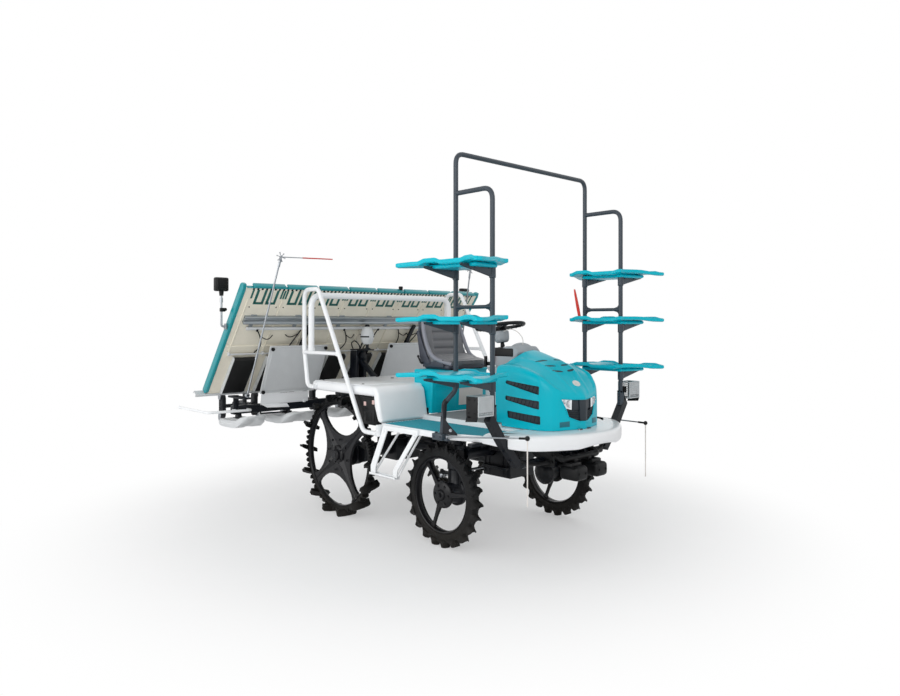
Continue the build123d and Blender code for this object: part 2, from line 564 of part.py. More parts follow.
def make_linkage():
    """Parallel links, lift cylinder and the hitch that carries the planting unit."""
    lower_pivot, upper_pivot = (lower_pivot_x, lower_pivot_z), (upper_pivot_x, upper_pivot_z)
    arms = both_sides(link_bar(lower_pivot, hitch_low, 30, lift_arm_inner, lift_arm_outer))
    pin = cross_pin(*lower_pivot, link_pin_radius, -rail_inner, rail_inner)
    crank = both_sides(link_bar(lower_pivot, (crank_x, crank_z), 24, 24, 38))
    crank_pin = cross_pin(crank_x, crank_z, 8, -38, 38)
    hub = cross_pin(*lower_pivot, 28, -lift_arm_outer, lift_arm_outer)
    hitch_bore = cross_pin(*hitch_low, link_pin_radius + pin_clearance, -120, 120)
    save("lower_links", joined(arms, pin, hub, crank, crank_pin) - hitch_bore)

    bar = link_bar(upper_pivot, hitch_high, 22, -20, 20)
    upper_pin = cross_pin(*upper_pivot, link_pin_radius, -rail_inner, rail_inner)
    upper_bore = cross_pin(*hitch_high, link_pin_radius + pin_clearance, -40, 40)
    save("upper_link", joined(bar, upper_pin) - upper_bore)

    lean = degrees(atan2(crank_z - cylinder_pivot_z, cylinder_pivot_x - crank_x))
    reach = hypot(crank_x - cylinder_pivot_x, crank_z - cylinder_pivot_z)
    barrel = joined(rod((0, 0, 0), (-300, 0, 0), 56), cross_pin(0, 0, 26, -15, 15))
    barrel = barrel - cross_pin(0, 0, 10 + pin_clearance, -20, 20)
    barrel = barrel - block(-40, 40, 15, 60, -40, 40) - block(-40, 40, -60, -15, -40, 40)
    piston_bore = rod((-40, 0, 0), (-301, 0, 0), 26 + 2 * pin_clearance)
    place = Pos(cylinder_pivot_x, 0, cylinder_pivot_z) * Rot(0, lean, 0)
    save("lift_cylinder", place * (barrel - piston_bore))
    piston = rod((-reach + 22, 0, 0), (-60, 0, 0), 26)
    eye = cross_pin(-reach, 0, 36, -12, 12)
    piston = joined(piston, eye) - cross_pin(-reach, 0, 25, -20, 20)
    save("lift_piston", place * piston)

    plate = side_plate([(hitch_low[0] + 28, hitch_low[1] - 34), (hitch_high[0] + 28, neck_foot_z),
                        (hitch_high[0] - 75, neck_foot_z), (hitch_low[0] - 60, hitch_low[1] - 34)], 26, 60)
    web = block(-1810, -1795, -26, 26, hitch_low[1] - 34, hitch_high[1] - 40)
    low_pin = cross_pin(*hitch_low, link_pin_radius, -lift_arm_outer - 6, lift_arm_outer + 6)
    high_pin = cross_pin(*hitch_high, link_pin_radius, -60, 60)
    roll_shaft = rod((-1800, 0, roll_axis_z), (-1940, 0, roll_axis_z), 50)
    neck_foot = block(hitch_high[0] - 75, cap_x + 30, -60, 60, neck_foot_z, neck_foot_z + 12)
    neck = upright(cap_x, 0, 24, neck_foot_z, cap_z)
    save("hitch", joined(both_sides(plate), web, low_pin, high_pin, roll_shaft, neck_foot, neck))
    cap = joined(upright(cap_x, 0, 60, cap_z + 12, cap_z + 120), upright(cap_x, 0, 42, cap_z, cap_z + 160))
    save("hitch_cap", cap)


# --- planting unit ----------------------------------------------------------------------------
case_places = [row_pitch * (2 * i + 1) for i in range(-(row_count // 4), row_count // 4)]
row_offset = row_pitch / 2
float_tail = row_offset - 58
# middle of a float, half width of its front, half width of its tail
float_places = ((0, 200, float_tail), (2 * row_pitch, 170, float_tail), (3.5 * row_pitch + 10, 120, 0))
splash_low, splash_high = (-1930, 905), (-1750, 1310)


def leaning_plate(extra_low, extra_high, behind0, behind1, y0, y1):
    """A plate parallel to the splash panels, between two depths behind their front face."""
    along = Vector(splash_high[0] - splash_low[0], 0, splash_high[1] - splash_low[1]).normalized()
    back = Vector(-along.Z, 0, along.X)
    low = Vector(splash_low[0], 0, splash_low[1]) - along * extra_low
    high = Vector(splash_high[0], 0, splash_high[1]) + along * extra_high
    corners = [low + back * behind0, high + back * behind0, high + back * behind1, low + back * behind1]
    return side_plate([(c.X, c.Z) for c in corners], y0, y1)


def make_planting_frame():
    """Cross beam, planting cases, slide rails, splash panels, guards and floats."""
    beam = block(beam_back, beam_front, -1120, 1120, beam_low, beam_high)
    beam_boss = block(-1990, -1900, -48, 48, beam_low + 5, roll_axis_z)
    boss = rod((-1900, 0, roll_axis_z), (-1990, 0, roll_axis_z), 96)
    roll_bore = rod((-1890, 0, roll_axis_z), (-1941, 0, roll_axis_z), 50 + 2 * pin_clearance)
    stay_y = 560
    stay = leaning_plate(90, 36, 10, 40, stay_y, stay_y + 40)
    stay_head = slope_slab(338, 560, 42 + pin_clearance, 62, stay_y, stay_y + 40)
    holder_post = block(beam_front - 3, beam_front + 15, 1080, 1128, beam_low + 40, 912)
    holder = block(beam_front - 3, marker_pivot_x - seat_gap, 1108, 1172, 895, 912)
    marker_lug = block(marker_pivot_x - 16, marker_pivot_x - seat_gap, 1135, 1165, 911, 945)
    marker_pin = rod((marker_pivot_x - 10, marker_pivot_y, marker_pivot_z),
                     (marker_pivot_x + 28, marker_pivot_y, marker_pivot_z), 10)
    side = joined(stay, stay_head, holder_post, holder, marker_lug, marker_pin)
    save("planting_beam", joined(beam, beam_boss, boss, side, other_side(side)) - roll_bore)

    cases = []
    for y in case_places:
        case = block(rotor_x, beam_back, y - case_half_width, y + case_half_width, rotor_z - 38, rotor_z + 34)
        nose = cross_pin(rotor_x, rotor_z, 38, y - case_half_width, y + case_half_width)
        support = block(-2212, -2168, y - 12, y + 12, rotor_z + 30, 904)
        bore = cross_pin(rotor_x, rotor_z, 17 + pin_clearance, y - 60, y + 60)
        cases.append(joined(case, nose, support) - bore)
    guide = slope_slab(platform_length + pin_clearance, platform_length + 24, -40, 20, -1350, 1350)
    save("planting_cases", joined(guide, *cases))

    panel = leaning_plate(0, 0, 0, 10, 340, 900)
    save("splash_panels", both_sides(panel))
    bar = bent_tube([(beam_front, 1000, 785), (-1875, 1000, 785), (-1935, 1350, 785), (-2470, 1350, 785)],
                    18, 40)
    save("side_guards", both_sides(bar))

    floats = []
    for y, half, tail in float_places:
        for side in ((1,) if y == 0 else (1, -1)):
            middle = side * y
            nose = side_plate([(-1700, 735), (-1700, 760), (-1760, 745), (-1820, float_top),
                               (-2120, float_top), (-2120, float_bottom + 8), (-2080, float_bottom),
                               (-1830, float_bottom), (-1750, 690)], middle - half, middle + half)
            strut = block(-2010, -1970, middle - 20, middle + 20, float_top - 2, beam_low)
            pieces = [nose, strut]
            if tail:
                pieces.append(block(-2400, -2115, middle - tail, middle + tail, float_bottom + 8,
                                    float_top - 22))
            floats.append(joined(*pieces))
    save("floats", joined(*floats))


def make_seedling_platform():
    """Sliding seedling platform: lane board and dividers, side frames, flaps, rail, belts and lamps."""
    save("seedling_board", slope_slab(0, platform_length, 0, 12, -platform_half_width, platform_half_width))
    dividers = [slope_slab(60, platform_length, -55, 0, row_pitch * i - 5, row_pitch * i + 5)
                for i in range(-row_count // 2, row_count // 2 + 1)]
    save("lane_dividers", joined(*dividers))
    side_frame = slope_slab(-22, platform_length, -46, 16, platform_half_width, side_frame_outer)
    flaps = [slope_slab(-22, -1, -22, 26, row_pitch * (i + 0.5) - 141, row_pitch * (i + 0.5) + 141)
             for i in range(-row_count // 2, row_count // 2)]
    flaps = joined(*flaps, slope_slab(-1, 0, -10, 22, -platform_half_width, platform_half_width))
    save("platform_frames", joined(flaps, side_frame, other_side(side_frame)))
    save("platform_rail", slope_slab(330, 400, 12, 42, -1180, 1180))
    belts = [slope_slab(690, 1060, 12, 58, row_pitch * (i + 0.5) - 95, row_pitch * (i + 0.5) + 95)
             for i in range(-row_count // 2, row_count // 2)]
    save("feed_belts", joined(*belts))
    lamp_x, lamp_y = -1755, 1325
    stalk_foot = on_slope(395, 0)
    stalk = rod((lamp_x, lamp_y, stalk_foot[1]), (lamp_x, lamp_y, 1746), 18)
    arm = rod((lamp_x, side_frame_outer, stalk_foot[1] + 6), (lamp_x, lamp_y + 8, stalk_foot[1] + 6), 16)
    head = block(lamp_x - 30, lamp_x + 30, lamp_y - 55, lamp_y + 55, 1745, 1855)
    save("rear_lamps", both_sides(joined(stalk, arm, head)))


def make_rotors():
    """Rotary planting arms: one shaft with two rotor boxes for each planting case."""
    rotors = []
    for y in case_places:
        pieces = [cross_pin(0, 0, 17, -row_offset, row_offset)]
        for side in (-1, 1):
            middle = side * row_offset
            pieces.append(link_bar((-70, 0), (70, 0), 34, middle - 20, middle + 20))
            for end in (-1, 1):
                claw = side_plate([(end * 80, -22), (end * 80, 22), (end * rotor_radius, 16),
                                   (end * rotor_radius, 4)], middle + side * 20, middle + side * 32)
                pieces.append(claw)
        rotors.append(Pos(rotor_x, y, rotor_z) * Rot(0, 90, 0) * joined(*pieces))
    save("planting_rotors", joined(*rotors))


def make_markers():
    """Folding line markers on the planting unit and the sighting rods at the front."""
    pivot = (marker_pivot_x + 14, marker_pivot_y, marker_pivot_z)
    tip = (-1370, 1027, 2007)
    arm = rod(pivot, tip, 14)
    knuckle = block(marker_pivot_x, marker_pivot_x + 28, marker_pivot_y - 15, marker_pivot_y + 15,
                    marker_pivot_z - 14, marker_pivot_z + 14)
    star = rod((tip[0] - 6, tip[1], tip[2]), (tip[0] + 6, tip[1], tip[2]), 80)
    pointer = rod(tip, (tip[0] - 190, tip[1] - 600, tip[2] + 30), 10)
    bore = rod((marker_pivot_x - 5, marker_pivot_y, marker_pivot_z),
               (marker_pivot_x + 60, marker_pivot_y, marker_pivot_z), 10 + 2 * pin_clearance)
    left = joined(arm, knuckle, star, pointer) - bore
    save("line_marker_left", left)
    save("line_marker_right", other_side(left))

    for name, side, ball in (("left", 1, (712, 750, 772)), ("right", -1, (870, 750, 840))):
        x, y, z = sight_pivot_x, side * sight_pivot_y, sight_pivot_z
        end = (ball[0], side * ball[1], ball[2])
        bar = rod((x, y, z + 11), end, 12)
        sphere = Pos(*end) * Sphere(14)
        drop = rod(end, (end[0], end[1], end[2] - 390), 9)
        collar = upright(x, y, 14, z + seat_gap, z + 22)
        bore = upright(x, y, 5 + pin_clearance, z - 5, z + 40)
        save(f"sight_rod_{name}", joined(bar, sphere, drop, collar) - bore)


make_wheels()
make_axles()
make_chassis()
make_panels()
make_seat()
make_hood()
make_steering_wheel()
make_rack(rack_shape())
make_rails()
make_linkage()
make_planting_frame()
make_seedling_platform()
make_rotors()
make_markers()

os.makedirs("parts", exist_ok=True)
for name, shape in nodes.items():
    export_step(shape, f"parts/{name}.step")
print(len(nodes), "nodes")
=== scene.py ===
"""Riding rice transplanter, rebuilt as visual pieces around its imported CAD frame.

Laid out as an add-on: sizes and colours in property groups, one operator for each group of
pieces, and one panel. Working numbers are millimetres measured from the ground under the front
axle (+X forward, +Y left, +Z up); `Piece.done` turns them into the frame's metres.
"""
from math import cos, pi, radians, sin, tan

import bmesh
import bpy
from bpy.props import FloatProperty, FloatVectorProperty, PointerProperty
from mathutils import Matrix, Vector
from mathutils.bvhtree import BVHTree


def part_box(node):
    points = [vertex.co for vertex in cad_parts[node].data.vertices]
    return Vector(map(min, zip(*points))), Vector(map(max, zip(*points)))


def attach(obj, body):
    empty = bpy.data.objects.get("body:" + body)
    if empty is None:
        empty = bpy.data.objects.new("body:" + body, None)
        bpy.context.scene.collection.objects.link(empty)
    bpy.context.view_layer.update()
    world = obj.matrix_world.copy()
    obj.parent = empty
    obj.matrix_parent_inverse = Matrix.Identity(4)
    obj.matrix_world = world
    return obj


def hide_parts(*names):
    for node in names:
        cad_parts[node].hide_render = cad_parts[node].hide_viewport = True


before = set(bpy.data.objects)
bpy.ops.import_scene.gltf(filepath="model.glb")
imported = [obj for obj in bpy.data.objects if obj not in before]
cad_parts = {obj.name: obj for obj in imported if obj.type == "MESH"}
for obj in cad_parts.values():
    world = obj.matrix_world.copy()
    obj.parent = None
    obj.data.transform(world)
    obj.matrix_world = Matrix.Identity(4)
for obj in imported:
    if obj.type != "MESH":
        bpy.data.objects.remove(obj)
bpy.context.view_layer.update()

bl_info = {
    "name": "Rice Transplanter Pieces",
    "version": (1, 0, 0),
    "blender": (4, 5, 0),
    "location": "View3D > Sidebar > Transplanter",
    "description": "Builds the visual pieces of a riding rice transplanter",
    "category": "Object",
}


def middle(node):
    """Middle of a CAD node's box."""
    low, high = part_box(node)
    return (low + high) / 2


AXLE_X = middle("front_tyre_left").x
AXLE = Vector((AXLE_X, 0, 0))
# middles of the left wheels, in millimetres from the ground under the front axle
FRONT_WHEEL = (0, middle("front_tyre_left").y * 1000, middle("front_tyre_left").z * 1000)
REAR_WHEEL = ((middle("rear_tyre_left").x - AXLE_X) * 1000, middle("rear_tyre_left").y * 1000,
              middle("rear_wheel_left").z * 1000)
# a left half where it stands, and its mirror image on the right
BOTH_HALVES = [Matrix(), Matrix.Scale(-1, 4, (0, 1, 0))]


# --- colours and sizes a user would change ----------------------------------------------------
def linear(hex_colour):
    """An sRGB hex colour as linear red, green and blue."""
    parts = [int(hex_colour[i:i + 2], 16) / 255 for i in (1, 3, 5)]
    return tuple(c / 12.92 if c < 0.04045 else ((c + 0.055) / 1.055) ** 2.4 for c in parts)


def colour(name, about, hex_colour):
    """A colour property."""
    return FloatVectorProperty(name=name, description=about, subtype="COLOR", size=3, min=0, max=1,
                               default=linear(hex_colour))


def length(name, about, default):
    """A size property in metres."""
    return FloatProperty(name=name, description=about, default=default, unit="LENGTH", subtype="DISTANCE")


class TransplanterColours(bpy.types.PropertyGroup):
    """Colours of the main finishes."""
    turquoise: colour("Turquoise", "Hood, shelves and seat box", "#00BCCF")
    teal: colour("Teal", "Platform side frames and flaps", "#12939B")
    mat: colour("Step mat", "Rubber mat on the side steps", "#1F9DAE")
    slots: colour("Lane slots", "Printed slots at the top of the lanes", "#17645C")
    white: colour("White", "Skirt, deck, rails and ladders", "#F5F7F9")
    ivory: colour("Ivory", "Back of the seedling lanes", "#F2ECDB")
    pale: colour("Pale grey", "Splash panels and floats", "#D3D6D8")
    tube: colour("Rack tube", "Posts and brackets of the rack", "#3B444D")
    chassis: colour("Chassis", "Frame, axles and cases", "#0E131B")
    rubber: colour("Rubber", "Tyres and belts", "#0A0B0D")
    vinyl: colour("Seat vinyl", "Seat cushion and backrest", "#6F7074")
    dash: colour("Dash", "Cowl behind the hood", "#A3A9AE")
    floor: colour("Floor mat", "Mat on the driver's floor", "#8E9294")
    red: colour("Red", "Pointers, knob and accents", "#E0301E")


class TransplanterSizes(bpy.types.PropertyGroup):
    """Sizes of the added detail."""
    tube_radius: length("Rack tube", "Radius of the rack's tubes", 0.016)
    rail_radius: length("Handrail", "Radius of the handrails", 0.017)
    lens_length: FloatProperty(name="Lens", description="Focal length of the camera", default=29.12,
                               unit="CAMERA")


# --- shapes -----------------------------------------------------------------------------------
# points of a turned profile nearer than this are one point
SEAM_MM = 0.01


def rounded(points, bend, steps=5):
    """Points of a line whose corners are turned with one radius."""
    points = [Vector(p) for p in points]
    path = [points[0]]
    for before, corner, after in zip(points, points[1:], points[2:]):
        back, ahead = before - corner, after - corner
        half = back.angle(ahead) / 2
        reach = min(bend / tan(half), back.length * 0.49, ahead.length * 0.49)
        start, end = corner + back.normalized() * reach, corner + ahead.normalized() * reach
        for i in range(steps + 1):
            t = i / steps
            path.append(start.lerp(corner, t).lerp(corner.lerp(end, t), t))
    return path + [points[-1]]


def smooth_line(points, steps=4, closed=False):
    """A smooth line through the points."""
    points = [Vector(p) for p in points]
    count = len(points)
    runs = range(count) if closed else range(count - 1)
    line = []
    for i in runs:
        near = (i + k for k in (-1, 0, 1, 2))
        a, b, c, d = (points[k % count if closed else min(max(k, 0), count - 1)] for k in near)
        for j in range(steps):
            t = j / steps
            line.append(((2 * b) + (c - a) * t + (2 * a - 5 * b + 4 * c - d) * t * t
                         + (3 * b - a - 3 * c + d) * t ** 3) / 2)
    return line if closed else line + [points[-1]]


def aim(start, end):
    """A matrix that puts +Z along the line from start to end, at its middle."""
    start, end = Vector(start), Vector(end)
    return Matrix.Translation((start + end) / 2) @ (end - start).to_track_quat("Z", "Y").to_matrix().to_4x4()


def sharp(edges, angle):
    """The edges whose two faces meet at more than an angle in degrees."""
    return [e for e in edges if len(e.link_faces) == 2 and e.calc_face_angle(0) > radians(angle)]


def strips(near, far, middle_y=0):
    """The side, lower y and upper y of a strip on each side of a middle line."""
    for side in (1, -1):
        yield (side, *sorted((middle_y + near * side, middle_y + far * side)))


class Piece:
    """One visual piece under construction, in millimetres from the ground under the front axle."""

    def __init__(self):
        self.bm = bmesh.new()

    def block(self, low, high, bevel=0.0, segments=2, turn=None):
        """A box between two corners, its edges rounded, turned about its middle."""
        low, high = Vector(low), Vector(high)
        size = Matrix.Diagonal((*(high - low), 1))
        place = Matrix.Translation((low + high) / 2)
        if turn:
            place = place @ turn
        made = bmesh.ops.create_cube(self.bm, size=1, matrix=place @ size)["verts"]
        if bevel:
            made = self.bevel({e for v in made for e in v.link_edges}, bevel, segments)
        return made

    def bevel(self, edges, offset, segments=2):
        """Round some edges."""
        made = bmesh.ops.bevel(self.bm, geom=list(edges), offset=offset, offset_type="OFFSET", affect="EDGES",
                               segments=segments, profile=0.5, material=-1, clamp_overlap=True)
        return list({v for f in made["faces"] for v in f.verts})

    def soften(self, offset, segments, angle):
        """Round every edge sharper than an angle."""
        self.bevel(sharp(self.bm.edges, angle), offset, segments)

    def rod(self, start, end, radius, tip=None, sides=16):
        """A round bar, or a cone when the tip radius differs."""
        depth = (Vector(end) - Vector(start)).length
        bmesh.ops.create_cone(self.bm, cap_ends=True, segments=sides, radius1=radius,
                              radius2=radius if tip is None else tip, depth=depth, matrix=aim(start, end))

    def ball(self, centre, radius, scale=(1, 1, 1), sides=16):
        """A ball or an egg."""
        place = Matrix.Translation(centre) @ Matrix.Diagonal((*scale, 1))
        bmesh.ops.create_uvsphere(self.bm, u_segments=sides, v_segments=max(6, sides // 2), radius=radius,
                                  matrix=place)

    def tube(self, points, radius, bend=0.0, steps=5, sides=4, closed=False):
        """A bent round tube."""
        path = rounded(points, bend, steps) if bend else [Vector(p) for p in points]
        curve = bpy.data.curves.new("run", "CURVE")
        curve.dimensions = "3D"
        curve.bevel_depth, curve.bevel_resolution, curve.use_fill_caps = radius, sides, True
        spline = curve.splines.new("POLY")
        spline.points.add(len(path) - 1)
        for point, place in zip(spline.points, path):
            point.co = (*place, 1)
        spline.use_cyclic_u = closed
        holder = bpy.data.objects.new("run", curve)
        mesh = bpy.data.meshes.new_from_object(holder)
        self.bm.from_mesh(mesh)
        bpy.data.objects.remove(holder)
        bpy.data.curves.remove(curve)
        bpy.data.meshes.remove(mesh)

    def prism(self, outline, along, bevel=0.0, segments=2):
        """A flat outline pushed along a vector, its sharp edges rounded."""
        verts = [self.bm.verts.new(p) for p in outline]
        face = self.bm.faces.new(verts)
        made = bmesh.ops.extrude_face_region(self.bm, geom=[face], use_keep_orig=True)["geom"]
        top = [v for v in made if isinstance(v, bmesh.types.BMVert)]
        bmesh.ops.translate(self.bm, verts=top, vec=Vector(along))
        if bevel:
            self.bevel(sharp({e for v in verts + top for e in v.link_edges}, 25), bevel, segments)

    def slab(self, outline, y, width, bevel=0.0, segments=2):
        """An outline of (x, z) pushed sideways from y, its sharp edges rounded."""
        self.prism([(x, y, z) for x, z in outline], (0, width, 0), bevel, segments)

    def turned(self, profile, centre=(0, 0, 0), axis="Y", steps=48):
        """A profile of (radius, height) turned about an axis through a centre."""
        before = set(self.bm.verts)
        verts = [self.bm.verts.new((r, 0, h)) for r, h in profile]
        edges = [self.bm.edges.new(pair) for pair in zip(verts, verts[1:])]
        bmesh.ops.spin(self.bm, geom=verts + edges, cent=(0, 0, 0), axis=(0, 0, 1), dvec=(0, 0, 0),
                       angle=2 * pi, steps=steps, use_merge=True, use_duplicate=False)
        made = [v for v in self.bm.verts if v not in before]
        bmesh.ops.remove_doubles(self.bm, verts=made, dist=SEAM_MM)
        made = [v for v in self.bm.verts if v not in before]
        turn = {"X": Matrix.Rotation(pi / 2, 4, "Y"), "Y": Matrix.Rotation(-pi / 2, 4, "X"),
                "Z": Matrix()}[axis]
        bmesh.ops.transform(self.bm, matrix=Matrix.Translation(centre) @ turn, verts=made)

    def loft(self, rings, capped=True, closed=True):
        """A skin through rings of equally many points."""
        loops = [[self.bm.verts.new(p) for p in ring] for ring in rings]
        count = len(loops[0])
        for low, high in zip(loops, loops[1:]):
            for i in range(count if closed else count - 1):
                j = (i + 1) % count
                self.bm.faces.new((low[i], low[j], high[j], high[i]))
        if capped:
            self.bm.faces.new(loops[0])
            self.bm.faces.new(loops[-1])
        return [v for loop in loops for v in loop]

    def bolts(self, places, axis, radius=9.0, height=6.0):
        """Hexagon heads on their washers."""
        axis = Vector(axis).normalized()
        for place in places:
            place = Vector(place)
            self.rod(place - axis, place + axis * height * 0.25, radius * 1.3, sides=12)
            self.rod(place, place + axis * height, radius, sides=6)

    def circle_bolts(self, centre, pcd, count, axis, radius=9.0, height=6.0, start=0.0):
        """Hexagon heads on a circle."""
        turn = Vector(axis).to_track_quat("Z", "Y")
        places = [Vector(centre) + turn @ Vector((cos(start + 2 * pi * i / count) * pcd / 2,
                                                  sin(start + 2 * pi * i / count) * pcd / 2, 0))
                  for i in range(count)]
        self.bolts(places, axis, radius, height)

    def repeat(self, other, matrices=(Matrix(),)):
        """Copies of another piece's shape, each at a matrix; one where it stands when none is given."""
        mesh = bpy.data.meshes.new("copy")
        other.bm.normal_update()
        other.bm.to_mesh(mesh)
        other.bm.free()
        for matrix in matrices:
            copy = mesh.copy()
            copy.transform(matrix)
            if matrix.determinant() < 0:
                copy.flip_normals()
            self.bm.from_mesh(copy)
            bpy.data.meshes.remove(copy)
        bpy.data.meshes.remove(mesh)
        return self

    def cut(self, other):
        """Take another piece's shape out of this one."""
        holders = []
        for piece in (self, other):
            bmesh.ops.recalc_face_normals(piece.bm, faces=piece.bm.faces)
            mesh = bpy.data.meshes.new("cut")
            piece.bm.to_mesh(mesh)
            holders.append(bpy.data.objects.new("cut", mesh))
            bpy.context.scene.collection.objects.link(holders[-1])
        change = holders[0].modifiers.new("cut", "BOOLEAN")
        change.operation, change.solver, change.object = "DIFFERENCE", "EXACT", holders[1]
        graph = bpy.context.evaluated_depsgraph_get()
        result = bpy.data.meshes.new_from_object(holders[0].evaluated_get(graph))
        self.bm.clear()
        self.bm.from_mesh(result)
        for holder in holders:
            mesh = holder.data
            bpy.data.objects.remove(holder)
            bpy.data.meshes.remove(mesh)
        bpy.data.meshes.remove(result)
        other.bm.free()

    def both_sides(self):
        """Add the mirror image on the other side of the machine."""
        geom = list(self.bm.verts) + list(self.bm.edges) + list(self.bm.faces)
        made = bmesh.ops.duplicate(self.bm, geom=geom)["geom"]
        verts = [g for g in made if isinstance(g, bmesh.types.BMVert)]
        faces = [g for g in made if isinstance(g, bmesh.types.BMFace)]
        bmesh.ops.scale(self.bm, vec=(1, -1, 1), verts=verts)
        bmesh.ops.reverse_faces(self.bm, faces=faces)
        return self

    def move(self, vector):
        """Shift the whole piece."""
        bmesh.ops.translate(self.bm, verts=self.bm.verts, vec=Vector(vector))

    def place(self, matrix):
        """Transform the whole piece."""
        bmesh.ops.transform(self.bm, verts=self.bm.verts, matrix=matrix)

    def done(self, name, slot, material, *replaces, body="chassis", smooth=38, recalc=True):
        """Make the object: metres, outward normals, finish, body and the CAD nodes it stands for; the slot is
        not used.
        """
        if recalc:
            bmesh.ops.recalc_face_normals(self.bm, faces=self.bm.faces)
        bmesh.ops.scale(self.bm, vec=(0.001, 0.001, 0.001), verts=self.bm.verts)
        bmesh.ops.translate(self.bm, verts=self.bm.verts, vec=(AXLE_X, 0, 0))
        mesh = bpy.data.meshes.new(name)
        self.bm.to_mesh(mesh)
        self.bm.free()
        for polygon in mesh.polygons:
            polygon.use_smooth = True
        mesh.set_sharp_from_angle(angle=radians(smooth))
        mesh.materials.append(FINISHES[material])
        made = bpy.data.objects.new(name, mesh)
        bpy.context.scene.collection.objects.link(made)
        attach(made, body)
        if replaces:
            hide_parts(*replaces)
        return made


def around(centre, axis, count, start=0.0):
    """Matrices that turn a shape round a centre in even steps."""
    return [Matrix.Translation(centre) @ Matrix.Rotation(start + 2 * pi * i / count, 4, axis)
            for i in range(count)]


# --- finishes ---------------------------------------------------------------------------------
FINISHES = {}
# rubbed patches about 14 mm across and clouds of dust about 45 mm across
RUBS_PER_METRE, CLOUDS_PER_METRE = 70.0, 22.0
DUST = linear("#8B7F6C")
COAT_ROUGHNESS, LAMP_GLOW = 0.12, 0.25


def add(tree, kind, inputs=None, **settings):
    """Add a node, set its fields and inputs, and link the inputs that are given as sockets."""
    made = tree.nodes.new(kind)
    for field, value in settings.items():
        setattr(made, field, value)
    for key, value in (inputs or {}).items():
        if isinstance(value, bpy.types.NodeSocket):
            tree.links.new(value, made.inputs[key])
        else:
            made.inputs[key].default_value = value
    return made


def mixed(tree, factor, first, second):
    """The colour between two colours or colour sockets."""
    return add(tree, "ShaderNodeMix", {0: factor, 6: first, 7: second}, data_type="RGBA").outputs[2]


def finish(name, tint, roughness, *, metallic=0.0, ior=1.5, coat=0.0, sheen=0.0, mottle=0.06, mottle_mm=90.0,
           grain_mm=1.2, grain_depth=0.00008, grain="noise", dust=0.0, dust_top=0.5, wear=0.0,
           rough_span=0.08, stretch=(1, 1, 1), emission=None):
    """A finish with colour mottling, fine surface relief, dust that thins upward and rubbed patches.

    mottle_mm and grain_mm are the real sizes of the patches and of the grain; a scale is 1 over its
    size in metres, and half of that for ribs. dust_top is the height in metres at which the dust ends.
    """
    material = bpy.data.materials.new(name)
    material.use_nodes = True
    tree = material.node_tree
    shader = next(n for n in tree.nodes if n.type == "BSDF_PRINCIPLED")
    coords = add(tree, "ShaderNodeTexCoord").outputs["Object"]
    place = add(tree, "ShaderNodeMapping", {"Vector": coords, "Scale": stretch}).outputs["Vector"]
    patches = add(tree, "ShaderNodeTexNoise", {"Vector": coords, "Scale": 1000 / mottle_mm, "Detail": 5.0,
                                               "Roughness": 0.6}).outputs["Fac"]
    dark = tuple(c * (1 - mottle * 2) for c in tint)
    light = tuple(min(1, c * (1 + mottle)) for c in tint)
    shown = mixed(tree, patches, (*dark, 1), (*light, 1))
    if wear:
        rubbed = add(tree, "ShaderNodeTexNoise", {"Vector": coords, "Scale": RUBS_PER_METRE, "Detail": 8.0,
                                                  "Roughness": 0.75}).outputs["Fac"]
        mask = add(tree, "ShaderNodeMapRange", {"Value": rubbed, "From Min": 0.6, "From Max": 0.74,
                                                "To Max": wear}).outputs["Result"]
        bare = tuple(0.5 * c + 0.16 for c in tint)
        shown = mixed(tree, mask, shown, (*bare, 1))
    if dust:
        height = add(tree, "ShaderNodeSeparateXYZ", {"Vector": coords}).outputs["Z"]
        fade = add(tree, "ShaderNodeMapRange", {"Value": height, "From Min": dust_top, "From Max": 0.0,
                                                "To Max": dust}).outputs["Result"]
        cloud = add(tree, "ShaderNodeTexNoise", {"Vector": coords, "Scale": CLOUDS_PER_METRE, "Detail": 9.0,
                                                 "Roughness": 0.7}).outputs["Fac"]
        amount = add(tree, "ShaderNodeMath", {0: fade, 1: cloud}, operation="MULTIPLY").outputs[0]
        shown = mixed(tree, amount, shown, (*DUST, 1))
    tree.links.new(shown, shader.inputs["Base Color"])
    spread = add(tree, "ShaderNodeMapRange", {"Value": patches, "To Min": max(0.02, roughness - rough_span),
                                              "To Max": min(1, roughness + rough_span)}).outputs["Result"]
    tree.links.new(spread, shader.inputs["Roughness"])
    if grain == "cells":
        relief = add(tree, "ShaderNodeTexVoronoi", {"Vector": place, "Scale": 1000 / grain_mm},
                     feature="SMOOTH_F1").outputs["Distance"]
    elif grain == "ribs":
        relief = add(tree, "ShaderNodeTexWave", {"Vector": place, "Scale": 500 / grain_mm},
                     wave_type="BANDS", bands_direction="X").outputs["Fac"]
    else:
        relief = add(tree, "ShaderNodeTexNoise", {"Vector": place, "Scale": 1000 / grain_mm, "Detail": 3.0,
                                                  "Roughness": 0.55}).outputs["Fac"]
    bump = add(tree, "ShaderNodeBump", {"Height": relief, "Strength": 0.6, "Distance": grain_depth})
    tree.links.new(bump.outputs["Normal"], shader.inputs["Normal"])
    shader.inputs["Metallic"].default_value = metallic
    shader.inputs["IOR"].default_value = ior
    shader.inputs["Coat Weight"].default_value = coat
    shader.inputs["Coat Roughness"].default_value = COAT_ROUGHNESS
    shader.inputs["Sheen Weight"].default_value = sheen
    if emission:
        shader.inputs["Emission Color"].default_value = (*emission, 1)
        shader.inputs["Emission Strength"].default_value = LAMP_GLOW
    FINISHES[name] = material


